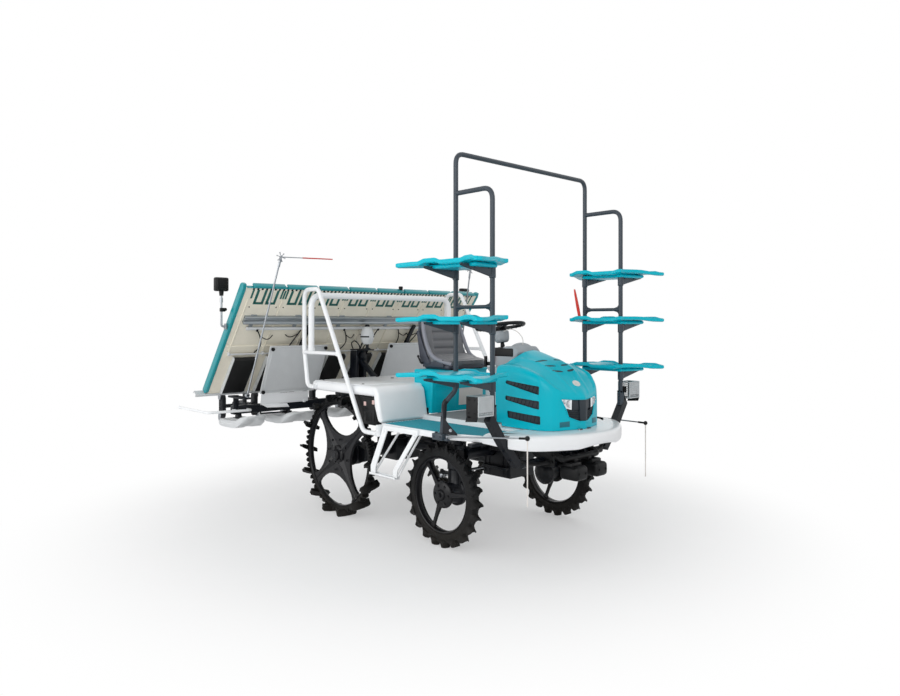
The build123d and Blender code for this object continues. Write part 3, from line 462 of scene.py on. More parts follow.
def make_finishes(c):
    """Every finish of the machine."""
    # glossy moulded ABS: a wet-looking skin with the faint orange peel of the mould
    finish("turquoise_abs", c.turquoise, 0.3, ior=1.28, coat=0.05, mottle=0.03, grain_mm=3.0,
           grain_depth=0.00006, rough_span=0.05)
    finish("white_abs", c.white, 0.3, coat=0.25, mottle=0.025, grain_mm=3.0, grain_depth=0.00006, dust=0.1,
           dust_top=1.0, rough_span=0.06)
    # enamelled steel tube: smooth paint with rubbed patches where hands and trays touch it
    finish("white_enamel", c.white, 0.34, coat=0.2, mottle=0.03, wear=0.1, dust=0.12, dust_top=0.8)
    finish("tube_enamel", c.tube, 0.38, ior=1.4, coat=0.1, mottle=0.1, wear=0.12, grain_mm=2.0)
    finish("teal_enamel", c.teal, 0.32, coat=0.25, mottle=0.05, wear=0.12)
    # chassis enamel over castings: blue-black, oily in places, with a dry film of dust low down
    finish("chassis_enamel", c.chassis, 0.42, coat=0.1, ior=1.35, mottle=0.25, mottle_mm=60, wear=0.05,
           grain_mm=2.6, grain_depth=0.00025, dust=0.07, dust_top=0.7)
    # cast iron: sand-cast skin, coarse and dull
    finish("cast_iron", linear("#222428"), 0.62, metallic=0.4, mottle=0.2, grain_mm=1.8, grain_depth=0.0004)
    # vulcanised rubber: matt black with a slight blue sheen and dust in the hollows
    finish("tyre_rubber", c.rubber, 0.5, ior=1.3, mottle=0.25, mottle_mm=35, grain_mm=1.6, grain_depth=0.0002,
           dust=0.08, dust_top=0.5, rough_span=0.12)
    finish("belt_rubber", c.rubber, 0.68, mottle=0.2, grain_mm=1.2, grain_depth=0.0002)
    finish("rim_enamel", linear("#0A0C12"), 0.38, ior=1.32, coat=0.1, mottle=0.18, wear=0.05,
           dust=0.06, dust_top=0.6)
    # ribbed mats: soft matt rubber
    finish("step_mat", c.mat, 0.55, mottle=0.1, mottle_mm=40, grain_mm=1.5, grain_depth=0.0002, dust=0.12,
           dust_top=1.2)
    finish("floor_mat", c.floor, 0.7, mottle=0.08, grain_mm=1.4, grain_depth=0.0002, dust=0.12, dust_top=1.2)
    # grained moulding: the fine leather texture of dash plastics
    finish("dash_abs", c.dash, 0.48, mottle=0.06, grain="cells", grain_mm=1.6, grain_depth=0.0002)
    finish("black_moulding", linear("#0A0B0D"), 0.45, ior=1.35, mottle=0.12, grain="cells", grain_mm=1.5,
           grain_depth=0.00018)
    finish("louvre_black", linear("#1F2A33"), 0.5, mottle=0.12, grain_mm=1.4)
    # seat vinyl: pebbled skin, softly shiny on the crowns
    finish("seat_vinyl", c.vinyl, 0.44, mottle=0.07, grain="cells", grain_mm=2.4,
           grain_depth=0.00035, sheen=0.1)
    finish("seat_shell", linear("#3A3E4A"), 0.5, mottle=0.08, grain="cells", grain_mm=2.0, grain_depth=0.0002)
    # lamp parts: a bright reflector under a clear cover
    finish("lamp_lens", linear("#DDE3E6"), 0.12, coat=1.0, mottle=0.04, metallic=0.35, grain="ribs",
           grain_mm=9, grain_depth=0.0004, emission=(0.75, 0.78, 0.8))
    finish("lamp_red", linear("#B3261B"), 0.18, coat=0.8, mottle=0.06, grain="ribs", grain_mm=6)
    # hard chromium on a ground rod
    finish("chrome_rod", linear("#C9CCD0"), 0.12, metallic=1.0, mottle=0.03, grain_mm=0.8, stretch=(1, 6, 6))
    finish("bright_steel", linear("#A9ADB2"), 0.32, metallic=1.0, mottle=0.08, grain_mm=0.9)
    # ivory PVC board: matt and slightly soiled where the seedling mats slide
    finish("ivory_board", c.ivory, 0.5, mottle=0.07, mottle_mm=140, grain_mm=2.2, dust=0.1, dust_top=1.9)
    finish("slot_print", c.slots, 0.4, mottle=0.1, grain_mm=2.0)
    # extruded aluminium: long die lines
    finish("extruded_aluminium", linear("#A7AEB3"), 0.36, metallic=0.85, mottle=0.06, grain_mm=1.4,
           stretch=(1, 0.03, 1), grain_depth=0.00012)
    finish("pale_moulding", c.pale, 0.46, mottle=0.05, grain_mm=2.0, grain_depth=0.0001,
           dust=0.14, dust_top=1.3)
    finish("signal_red", c.red, 0.36, mottle=0.06, coat=0.2)
    finish("wire_mesh", linear("#C8CCCE"), 0.45, mottle=0.1, metallic=0.3)
    finish("blank_plate", linear("#E6E1DC"), 0.5, mottle=0.06, grain_mm=2.0)
    finish("seat_piping", linear("#8A8C96"), 0.42, mottle=0.06, grain="cells", grain_mm=2.4,
           grain_depth=0.0003)
    # printed film over a moulding: thin, even and slightly glossy
    finish("label_teal", linear("#0E6E7C"), 0.35, mottle=0.05, grain_mm=2.0)
    finish("label_pink", linear("#D9B9B4"), 0.4, mottle=0.08, grain_mm=2.0)


# --- wheels and axles -------------------------------------------------------------------------
SIDES = (("left", 1), ("right", -1))
KNUCKLE_Y, TRACK_ROD_X, TRACK_ROD_Z = 480, -140, 440


def on_side(side, piece):
    """A piece built on the left, kept there or mirrored to the right."""
    if side < 0:
        bmesh.ops.scale(piece.bm, vec=(1, -1, 1), verts=piece.bm.verts)
        bmesh.ops.reverse_faces(piece.bm, faces=piece.bm.faces)
    return piece


class FrontWheels(bpy.types.Operator):
    """Solid front tyres with pointed lugs on three-spoked rims"""
    bl_idname = "transplanter.front_wheels"
    bl_label = "Front wheels"

    def execute(self, context):
        for name, side in SIDES:
            tyre = Piece()
            tyre.turned([(256, -26), (261, -31), (299, -31.5), (312, -28), (319, -16), (321, 0), (319, 16),
                         (312, 28), (299, 31.5), (261, 31), (256, 26), (256, -26)], steps=80)
            lug = Piece()
            outline = ((-31, 304), (31, 304), (13, 326), (5, 349), (-5, 349), (-12, 326))
            lug.loft([[(t + lean, y, r - drop) for t, r in outline]
                      for y, lean, drop in ((-36, 17, 5), (-27, 9, 0), (-9, -6, 0), (9, -6, 0), (27, 9, 0),
                                            (36, 17, 5))])
            lug.soften(3, 1, 50)
            tyre.repeat(lug, around((0, 0, 0), "Y", 22, radians(9)))
            rib = Piece()
            rib.block((-5, -33, 286), (5, 33, 316), 3, 1)
            tyre.repeat(rib, around((0, 0, 0), "Y", 22))
            tyre.move(FRONT_WHEEL)
            on_side(side, tyre).done(f"front_tread_{name}", "tyre_rubber", "tyre_rubber",
                                     f"front_tyre_{name}", body=f"front_{name}_wheel")
            rim = Piece()
            rim.turned([(255.5, -25), (250, -29), (244, -26), (243, -12), (238, 0), (243, 12), (244, 26),
                        (250, 29), (255.5, 25), (255.5, -25)], steps=72)
            spoke = Piece()
            spoke.loft([[(w * x, d * y, r)
                         for x, y in ((-1, -1), (1, -1), (1.2, 0), (1, 1), (-1, 1), (-1.2, 0))]
                        for r, w, d in ((60, 24, 12), (100, 15, 11), (170, 10, 9), (225, 11, 9),
                                        (244, 20, 12))])
            spoke.soften(2.5, 1, 40)
            rim.repeat(spoke, around((0, 0, 0), "Y", 3, radians(82.5)))
            rim.turned([(0, 34), (30, 34), (36, 28), (38, 20), (78, 16), (90, 8), (92, -6),
                        (86, -12), (21, -12)])
            rim.circle_bolts((0, 16, 0), 128, 6, (0, 1, 0), 9, 7)
            rim.circle_bolts((0, 34, 0), 0, 1, (0, 1, 0), 15, 10)
            rim.move(FRONT_WHEEL)
            on_side(side, rim).done(f"front_rim_{name}", "wheel_paint", "rim_enamel", f"front_wheel_{name}",
                                    body=f"front_{name}_wheel")
        return {"FINISHED"}


class RearWheels(bpy.types.Operator):
    """Thin rear tyres with wide paddles on four curved arms"""
    bl_idname = "transplanter.rear_wheels"
    bl_label = "Rear wheels"

    def execute(self, context):
        quarter = ((45, 160), (31, 168), (19, 194), (11, 232), (7, 280), (5.5, 330), (6.5, 368), (10, 388))
        arm_edge = [(-a, r) for a, r in quarter[1:]] + [(a, r) for a, r in quarter[:0:-1]] + [(45, 160)]
        outline = []
        for arm in range(4):
            outline.extend((37 + 90 * arm + a, r) for a, r in arm_edge)
        spider = [Vector((r * cos(radians(a)), 0, r * sin(radians(a)))) for a, r in outline]
        for name, side in SIDES:
            tyre = Piece()
            tyre.turned([(401, -17), (405, -22), (420, -22), (429, -14), (431, 0), (429, 14), (420, 22),
                         (405, 22), (401, 17), (401, -17)], steps=96)
            paddle = Piece()
            paddle.loft([[(lean + x * w, y, r)
                          for x, r in ((-1.7, 418), (1.7, 418), (1, low + 10), (0.9, high), (-0.9, high),
                                       (-1, low + 10))]
                         for y, lean, w, low, high in ((-72, -26, 8, 430, 460), (-62, -22, 10, 428, 472),
                                                       (-22, -7, 12, 426, 474.5), (22, 7, 12, 426, 474.5),
                                                       (62, 22, 10, 428, 472), (72, 26, 8, 430, 460))])
            paddle.soften(3, 1, 45)
            tyre.repeat(paddle, around((0, 0, 0), "Y", 14, pi / 14))
            bump = Piece()
            bump.loft([[(x, y, r) for x, r in ((-18, 420), (18, 420), (5, top), (-5, top))]
                       for y, top in ((-30, 440), (-14, 449), (14, 449), (30, 440))])
            bump.soften(2, 1, 45)
            tyre.repeat(bump, [m for shift in (-0.5, 0, 0.5)
                               for m in around((0, 0, 0), "Y", 14, radians(shift * 12))])
            tyre.move(REAR_WHEEL)
            on_side(side, tyre).done(f"rear_tread_{name}", "tyre_rubber", "tyre_rubber", f"rear_tyre_{name}",
                                     body=f"rear_{name}_wheel")
            rim = Piece()
            rim.turned([(400.5, -17), (396, -21), (391, -15), (388, 0), (391, 15), (396, 21), (400.5, 17),
                        (400.5, -17)], steps=96)
            rim.prism([p + Vector((0, -11, 0)) for p in spider], (0, 22, 0))
            ridge = Piece()
            ridge.loft([[(w * x, d * y, r) for x, y in ((-1, -1), (1, -1), (1, 0.4), (0, 1), (-1, 0.4))]
                        for r, w, d in ((30, 44, 26), (150, 34, 24), (250, 20, 19), (340, 15, 15),
                                        (392, 17, 13))])
            ridge.soften(3, 1, 40)
            rim.repeat(ridge, around((0, 0, 0), "Y", 4, radians(53)))
            rim.turned([(0, 48), (34, 48), (44, 40), (46, 28), (66, 26), (74, 20), (74, -34), (21, -34)])
            rim.circle_bolts((0, 26, 0), 112, 5, (0, 1, 0), 9, 7)
            rim.circle_bolts((0, 21, 0), 250, 8, (0, 1, 0), 8, 6, radians(14))
            rim.move(REAR_WHEEL)
            on_side(side, rim).done(f"rear_rim_{name}", "wheel_paint", "rim_enamel", f"rear_wheel_{name}",
                                    body=f"rear_{name}_wheel")
        return {"FINISHED"}


class AxlesAndSteering(bpy.types.Operator):
    """Front beam, steered knuckles with their gear cases, tie rod and final drives"""
    bl_idname = "transplanter.axles"
    bl_label = "Axles and steering"

    def execute(self, context):
        hub_z = FRONT_WHEEL[2]
        beam = Piece()
        beam.turned([(0, -420), (60, -420), (60, -404), (48, -396), (42, -250), (42, 250), (48, 396),
                     (60, 404), (60, 420), (0, 420)], (0, 0, 600))
        half = Piece()
        half.turned([(25, 551), (64, 551), (64, 566), (54, 574), (52, 636), (62, 648), (62, 668), (50, 676),
                     (46, 728), (40, 741), (0, 741)], (0, KNUCKLE_Y, 0), "Z")
        half.circle_bolts((0, KNUCKLE_Y, 566), 116, 8, (0, 0, 1), 7, 6)
        half.circle_bolts((0, KNUCKLE_Y, 668), 112, 6, (0, 0, 1), 7, 5)
        half.block((-52, 142, 600), (52, 198, 655), 6)
        half.circle_bolts((0, 404, 600), 104, 8, (0, -1, 0), 7, 6)
        half.prism([(-7, 395, 640), (-7, 300, 630), (-7, 300, 570), (-7, 395, 560)], (14, 0, 0), 3)
        beam.repeat(half, BOTH_HALVES)
        beam.done("axle_beam", "chassis_paint", "chassis_enamel", "front_axle_beam")
        for name, side in SIDES:
            knuckle = Piece()
            knuckle.turned([(0, 270), (34, 272), (50, 290), (56, 330), (56, 400), (47, 414), (45, 500),
                            (58, 512), (58, 549), (0, 549)], (0, KNUCKLE_Y, 0), "Z")
            knuckle.turned([(0, 424), (44, 426), (66, 440), (84, 452), (92, 462), (92, 486), (80, 494),
                            (70, 520), (64, 556), (62, 586), (0, 586)], (0, 0, hub_z))
            knuckle.circle_bolts((0, 462, hub_z), 164, 8, (0, -1, 0), 8, 6)
            knuckle.circle_bolts((0, KNUCKLE_Y, 512), 104, 6, (0, 0, -1), 7, 6)
            for turn in range(4):
                angle = radians(20 + 90 * turn)
                knuckle.prism([(r * cos(angle), KNUCKLE_Y + r * sin(angle), z)
                               for r, z in ((50, 400), (44, 500), (57, 512), (62, 400))],
                              (6 * sin(angle), -6 * cos(angle), 0))
            knuckle.prism([(0, 462, 456), (0, 498, 456), (-100, 494, 456), (-140, 500, 456), (-158, 480, 456),
                           (-140, 460, 456), (-100, 466, 456)], (0, 0, 18), 3)
            knuckle.rod((TRACK_ROD_X, KNUCKLE_Y, 430), (TRACK_ROD_X, KNUCKLE_Y, 482), 8)
            knuckle.bolts([(TRACK_ROD_X, KNUCKLE_Y, 474)], (0, 0, 1), 12, 9)
            on_side(side, knuckle).done(f"knuckle_case_{name}", "chassis_paint", "chassis_enamel",
                                        f"knuckle_{name}", body=f"{name}_knuckle")
        rod = Piece()
        rod.rod((TRACK_ROD_X, -455, TRACK_ROD_Z), (TRACK_ROD_X, 455, TRACK_ROD_Z), 10)
        for y in (-KNUCKLE_Y, KNUCKLE_Y):
            rod.turned([(8.8, -13), (17, -13), (20, -8), (20, 8), (17, 13), (8.8, 13)],
                       (TRACK_ROD_X, y, TRACK_ROD_Z), "Z", 24)
            rod.rod((TRACK_ROD_X, y * 0.94, TRACK_ROD_Z), (TRACK_ROD_X, y * 0.86, TRACK_ROD_Z), 14, sides=6)
        rod.done("steering_rod", "chassis_paint", "bright_steel", "tie_rod", body="steering_link")
        rear = Piece()
        half = Piece()
        wheel_x, wheel_z = REAR_WHEEL[0], REAR_WHEEL[2]
        half.turned([(52, 500.5), (95, 500.5), (99, 506), (97, 512), (70, 518), (52, 520)],
                    (wheel_x, 0, wheel_z))
        half.circle_bolts((wheel_x, 511, wheel_z), 164, 8, (0, 1, 0), 8, 7)
        half.turned([(56, 330), (86, 334), (90, 348), (86, 362), (56, 366)], (wheel_x, 0, wheel_z))
        half.circle_bolts((wheel_x, 336, wheel_z), 146, 6, (0, -1, 0), 7, 6)
        half.block((-1236, 138, 470), (-1226, 142, 640), 2)
        half.bolts([(wheel_x + x, 200, z) for x in (-36, 36) for z in (612, 640)], (0, 1, 0), 9, 7)
        rear.repeat(half, BOTH_HALVES)
        rear.circle_bolts((-1070, 0, 470), 150, 8, (1, 0, 0), 8, 7)
        for x in (-1225, -1185, -1145, -1105):
            rear.block((x - 3, -128, 545), (x + 3, 128, 552), 1, 1)
        rear.done("final_drive_covers", "chassis_paint", "chassis_enamel")
        return {"FINISHED"}


# --- chassis underside ------------------------------------------------------------------------
class ChassisDetails(bpy.types.Operator):
    """Bumper, bolted plates, gearbox ribs, hoses and brackets under the floor"""
    bl_idname = "transplanter.chassis_details"
    bl_label = "Chassis details"

    def execute(self, context):
        bumper = Piece()
        bumper.tube([(640, -196, 640), (688, -186, 622), (688, 186, 622), (640, 196, 640)], 21, 40)
        half = Piece()
        half.block((642, 46, 488), (788, 172, 582), 26, 4)
        half.block((650, 58, 560), (740, 160, 600), 8)
        half.block((666, 58, 578), (708, 92, 622), 4)
        half.bolts([(788, 76, 535), (788, 142, 535)], (1, 0, 0), 8, 4)
        half.block((613, 90, 560), (668, 152, 586), 4)
        bumper.repeat(half, BOTH_HALVES)
        bumper.done("front_bumper_pads", "chassis_paint", "black_moulding", "front_bumper")
        detail = Piece()
        half = Piece()
        half.bolts([(x, 200, 690) for x in (-1180, -980, -700, -470, -230, 60, 370, 480)], (0, 1, 0), 9, 7)
        half.prism([(560, 206, 560), (640, 206, 575), (640, 206, 660), (420, 206, 700), (420, 206, 660)],
                   (0, 8, 0), 2)
        half.bolts([(x, 214, z) for x, z in ((620, 600), (620, 645), (450, 680), (560, 600))],
                   (0, 1, 0), 9, 7)
        half.tube([(610, 170, 600), (560, 300, 590), (552, 420, 610), (545, 452, 640)], 13, 40)
        half.block((300, 205, 600), (392, 262, 700), 10)
        half.block((180, 205, 640), (262, 330, 735), 8)
        half.turned([(0, 232), (38, 232), (44, 238), (44, 262), (38, 268), (0, 268)], (340, 0, 600), "Y", 32)
        detail.repeat(half, BOTH_HALVES)
        hoses = (
            ((150, -130, 690), (40, -250, 640), (-60, -300, 560), (-150, -220, 520), (-400, -160, 560),
             (-700, -120, 640)),
            ((120, 130, 690), (0, 230, 650), (-120, 260, 560), (-500, 180, 560), (-740, 60, 690)),
            ((200, -210, 700), (90, -330, 700), (20, -430, 720), (0, -470, 745)))
        for path in hoses:
            detail.tube(smooth_line(path, 5), 9)
        detail.done("frame_fittings", "chassis_paint", "black_moulding")
        ribs = Piece()
        for x in (-60, -20, 110, 150):
            ribs.block((x - 4, -131, 430), (x + 4, 131, 720), 2, 1)
        ribs.turned([(0, -70), (92, -70), (98, -62), (98, -44), (60, -36), (41, -30), (41, -60)],
                    (0, 0, 500), "X")
        ribs.circle_bolts((-74, 0, 500), 168, 8, (-1, 0, 0), 8, 7)
        ribs.block((-70, -160, 470), (170, 160, 490), 4)
        ribs.block((60, 125, 520), (160, 205, 620), 14, 3)
        ribs.rod((110, 150, 500), (110, 150, 440), 34)
        ribs.done("gearbox_ribs", "chassis_paint", "chassis_enamel")
        for node, name in (("chassis_frame", "chassis_enamel"), ("rear_axle_case", "chassis_enamel"),
                           ("transmission_case", "chassis_enamel"), ("engine_block", "cast_iron"),
                           ("lift_cylinder", "chassis_enamel"), ("lift_piston", "chrome_rod")):
            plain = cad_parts[node].data
            plain.materials.clear()
            plain.materials.append(FINISHES[name])
        return {"FINISHED"}


# --- seedling rack, rails and ladders ---------------------------------------------------------
POST_Y, REAR_POST, FRONT_POST = 690, 218, 540
SHELF_HEIGHTS = (1175, 1525, 1870)
RAIL_Y, GUARD_X = 775, -1380


class RackFrame(bpy.types.Operator):
    """Rack tubes, rungs, tapered shelf brackets, feet and front legs"""
    bl_idname = "transplanter.rack_frame"
    bl_label = "Rack frame"

    def execute(self, context):
        r = context.scene.transplanter_sizes.tube_radius * 1000
        rack = Piece()
        rack.tube([(158, 756, 789), (168, 744, 985), (REAR_POST, POST_Y, 1070), (REAR_POST, POST_Y, 2590),
                   (REAR_POST, -POST_Y, 2590), (REAR_POST, -POST_Y, 1070), (168, -744, 985),
                   (158, -756, 789)], r, 70, 8)
        half = Piece()
        half.tube([(REAR_POST, POST_Y, 2330), (FRONT_POST, POST_Y, 2330), (FRONT_POST, POST_Y, 930)],
                  r, 78, 8)
        half.tube([(REAR_POST, POST_Y, 1600), (FRONT_POST, POST_Y, 1600)], 12)
        for x, way in ((REAR_POST + 14, 1), (FRONT_POST - 14, -1)):
            half.prism([(x, POST_Y - 3, 1560), (x, POST_Y - 3, 1640), (x + way * 14, POST_Y - 3, 1620),
                        (x + way * 46, POST_Y - 3, 1611), (x + way * 46, POST_Y - 3, 1589),
                        (x + way * 14, POST_Y - 3, 1580)], (0, 6, 0), 2)
        half.turned([(16, 892), (25, 896), (25, 984), (19, 990), (16, 990)], (FRONT_POST, POST_Y, 0), "Z", 32)
        half.bolts([(FRONT_POST, POST_Y - 24, z) for z in (915, 965)], (0, -1, 0), 8, 6)
        half.block((96, 735, 750), (190, 789, 792), 5)
        half.bolts([(110, 762, 793)], (0, 0, 1), 9, 7)
        half.bolts([(x, 789, 772) for x in (112, 174)], (0, 1, 0), 8, 5)
        half.block((190, 744, 749), (220, 772, 763.5), 3)
        half.rod((206, 758, 760), (206, 758, 790), 4.8)
        for z in SHELF_HEIGHTS:
            under = z - 19
            for x in (REAR_POST, FRONT_POST):
                for inner in (-9, 6):
                    half.prism([(x + inner, POST_Y, under), (x + inner, 958, under),
                                (x + inner, 958, under - 13), (x + inner, 860, under - 34),
                                (x + inner, POST_Y, under - 72)], (3, 0, 0))
                half.prism([(x - 11, POST_Y - 6, under - 3), (x + 11, POST_Y - 6, under - 3),
                            (x + 11, 962, under - 3), (x - 11, 962, under - 3)], (0, 0, 3))
                half.turned([(15.5, under - 78), (21, under - 74), (21, under + 6), (15.5, under + 10)],
                            (x, POST_Y, 0), "Z", 24)
                half.bolts([(x + 12, y, under - 16) for y in (730, 850)], (1, 0, 0), 6, 4)
        rack.repeat(half, BOTH_HALVES)
        rack.done("rack_tubes", "rack_paint", "tube_enamel", "rack_frame", recalc=False)
        legs = Piece()
        legs.loft([[(FRONT_POST + x, y + dy, z + dz)
                    for x, dy, dz in ((-w, 19, -16), (w, 19, -16), (w, -19, 16), (-w, -19, 16))]
                   for w, y, z in ((20, POST_Y + 2, 985), (26, POST_Y + 32, 922), (27, 612, 768),
                                   (26, 470, 604))])
        legs.soften(4, 2, 40)
        legs.bolts([(FRONT_POST, 590, 712), (FRONT_POST, 530, 642)], (0, 13, -11), 9, 14)
        legs.tube([(REAR_POST - 56, 750, 800), (REAR_POST - 50, 744, 985), (REAR_POST - 38, 734, 1004)],
                  17.2, 40, 4)
        legs.prism([(158 + 102 * s, 764 - 46 * s, z)
                    for s, z in ((0, 790), (1, 786), (1, 797), (0.5, 852), (0.2, 896), (0, 905))],
                   (1.7, 4, 0))
        legs.both_sides().done("rack_legs", "rack_paint", "chassis_enamel")
        bolt = Piece()
        bolt.bolts([(222, 741, 816)], (0.4, 0.9, 0), 8, 5)
        bolt.both_sides().done("rack_foot_bolts", "rack_paint", "bright_steel")
        return {"FINISHED"}


class RackShelves(bpy.types.Operator):
    """Moulded seedling shelves with raised borders and humps"""
    bl_idname = "transplanter.rack_shelves"
    bl_label = "Rack shelves"

    def execute(self, context):
        outline = ((150, 604), (365, 596), (580, 604), (604, 660), (722, 940), (716, 992), (690, 1000),
                   (560, 962), (350, 956), (140, 962), (10, 1000), (-16, 992), (-22, 940), (126, 660))
        base = smooth_line([(x, y, 0) for x, y in outline], 3, closed=True)
        centre = Vector((350, 790, 0))

        def ring(scale, z):
            return [centre + (p - centre) * scale + Vector((0, 0, z)) for p in base]

        shelves, ribs = Piece(), Piece()
        for z in SHELF_HEIGHTS:
            for side in (1, -1):
                tray = Piece()
                tray.loft([ring(0.9, -15), ring(0.97, -14), ring(1, -8), ring(1, 9), ring(0.985, 13),
                           ring(0.965, 12), ring(0.95, 2), ring(0.93, 0)])
                for x in range(-10, 720, 18):
                    geom = list(tray.bm.verts) + list(tray.bm.edges) + list(tray.bm.faces)
                    bmesh.ops.bisect_plane(tray.bm, geom=geom, plane_co=(x, 0, 0), plane_no=(1, 0, 0))
                for v in tray.bm.verts:
                    along = (v.co.x + 22) / 744
                    for middle_at, half_span, rise in ((0.37, 0.13, 15), (0.85, 0.1, 10)):
                        t = abs(along - middle_at) / half_span
                        v.co.z += rise * max(0, min(1, (1 - t) * 2.2))
                    v.co.z -= 7 * max(0, 1 - along / 0.16) + 4 * max(0, (along - 0.94) / 0.06)
                belly = tray.block((210, 660, -34), (560, 900, -8), 16, 3)
                for v in belly:
                    v.co.x = 385 + (v.co.x - 385) * (1 + 0.3 * (v.co.y - 660) / 240)
                tray.move((0, 0, z))
                shelves.repeat(on_side(side, tray))
                rib = Piece()
                for y in (660, 735, 810, 885):
                    rib.block((60 if y > 700 else 160, y - 5, -2), (640 if y > 700 else 560, y + 5, 7), 2, 1)
                for x in (250, 350, 450):
                    rib.block((x - 4, 640, -2), (x + 4, 930, 6), 2, 1)
                rib.move((0, 0, z))
                ribs.repeat(on_side(side, rib))
        shelves.done("shelf_trays", "turquoise_abs", "turquoise_abs", "rack_shelves")
        ribs.done("shelf_ribs", "turquoise_abs", "turquoise_abs")
        flag = Piece()
        flag.loft([[(x + dx, y + dy, z) for dx, dy in ((-w, -4), (w, -4), (w, 4), (-w, 4))]
                   for x, y, z, w in ((222, 620, 1536, 10), (214, 606, 1620, 12), (203, 590, 1720, 8),
                                      (199, 585, 1757, 4))])
        flag.soften(2, 2, 40)
        flag.done("shelf_pointer", "rack_paint", "signal_red")
        return {"FINISHED"}


def between(low, high, count):
    """Even steps between two values, without the ends."""
    return [low + i * (high - low) / count for i in range(1, count)]


class RackBaskets(bpy.types.Operator):
    """Wire baskets in front of the posts"""
    bl_idname = "transplanter.rack_baskets"
    bl_label = "Rack baskets"

    def execute(self, context):
        (x0, y0, z0), (x1, y1, z1) = (492, 735, 945), (588, 868, 1061)
        frames = Piece()
        frames.slab(((x0, z1 + 2), (x1 - 2, z1 + 2), (x1 - 2, z0 - 8), (x1 - 10, z0 - 30), (x0 - 8, z0 - 38),
                     (x0, z0 - 8)), y1 - 5, 5, 1.2)
        frames.block((x0 + 8, y0 + 8, z0 - 12), (x0 + 40, y1, z0 + 2), 3)
        frames.block((x0 + 28, POST_Y + 12, 985), (x1 - 28, y0 + 2, 1030), 2)
        for x in (x0 + 20, x1 - 26):
            frames.bolts([(x, y1, z0 + 18), (x, y1, z1 - 18)], (0, 1, 0), 5, 3)
        frames.both_sides().done("basket_frames", "black_moulding", "black_moulding", "rack_baskets")
        mesh = Piece()
        for z in (z0, z1):
            mesh.tube([(x0, y0, z), (x1, y0, z), (x1, y1 - 7, z), (x0, y1 - 7, z)], 4, closed=True)
        for x in (x0, x1):
            for y in (y0, y1 - 7):
                mesh.tube([(x, y, z0), (x, y, z1)], 4)
        mesh.block((x1 - 3, y0 + 4, z0 + 22), (x1 - 1, y1 - 8, z1 - 4), 0.6, 1)
        wires = [[(x1, y, z1), (x1, y, z0), (x0, y, z0), (x0, y, z1)] for y in between(y0, y1, 12)]
        wires += [[(x0, y1 - 6, z), (x0, y0, z), (x1, y0, z), (x1, y1 - 6, z)] for z in between(z0, z1, 8)]
        wires += [[(x, y1 - 6, z0), (x, y0, z0), (x, y0, z1)] for x in between(x0, x1, 6)]
        for wire in wires:
            mesh.tube(wire, 1.7, sides=1)
        mesh.both_sides().done("basket_mesh", "black_moulding", "wire_mesh")
        return {"FINISHED"}


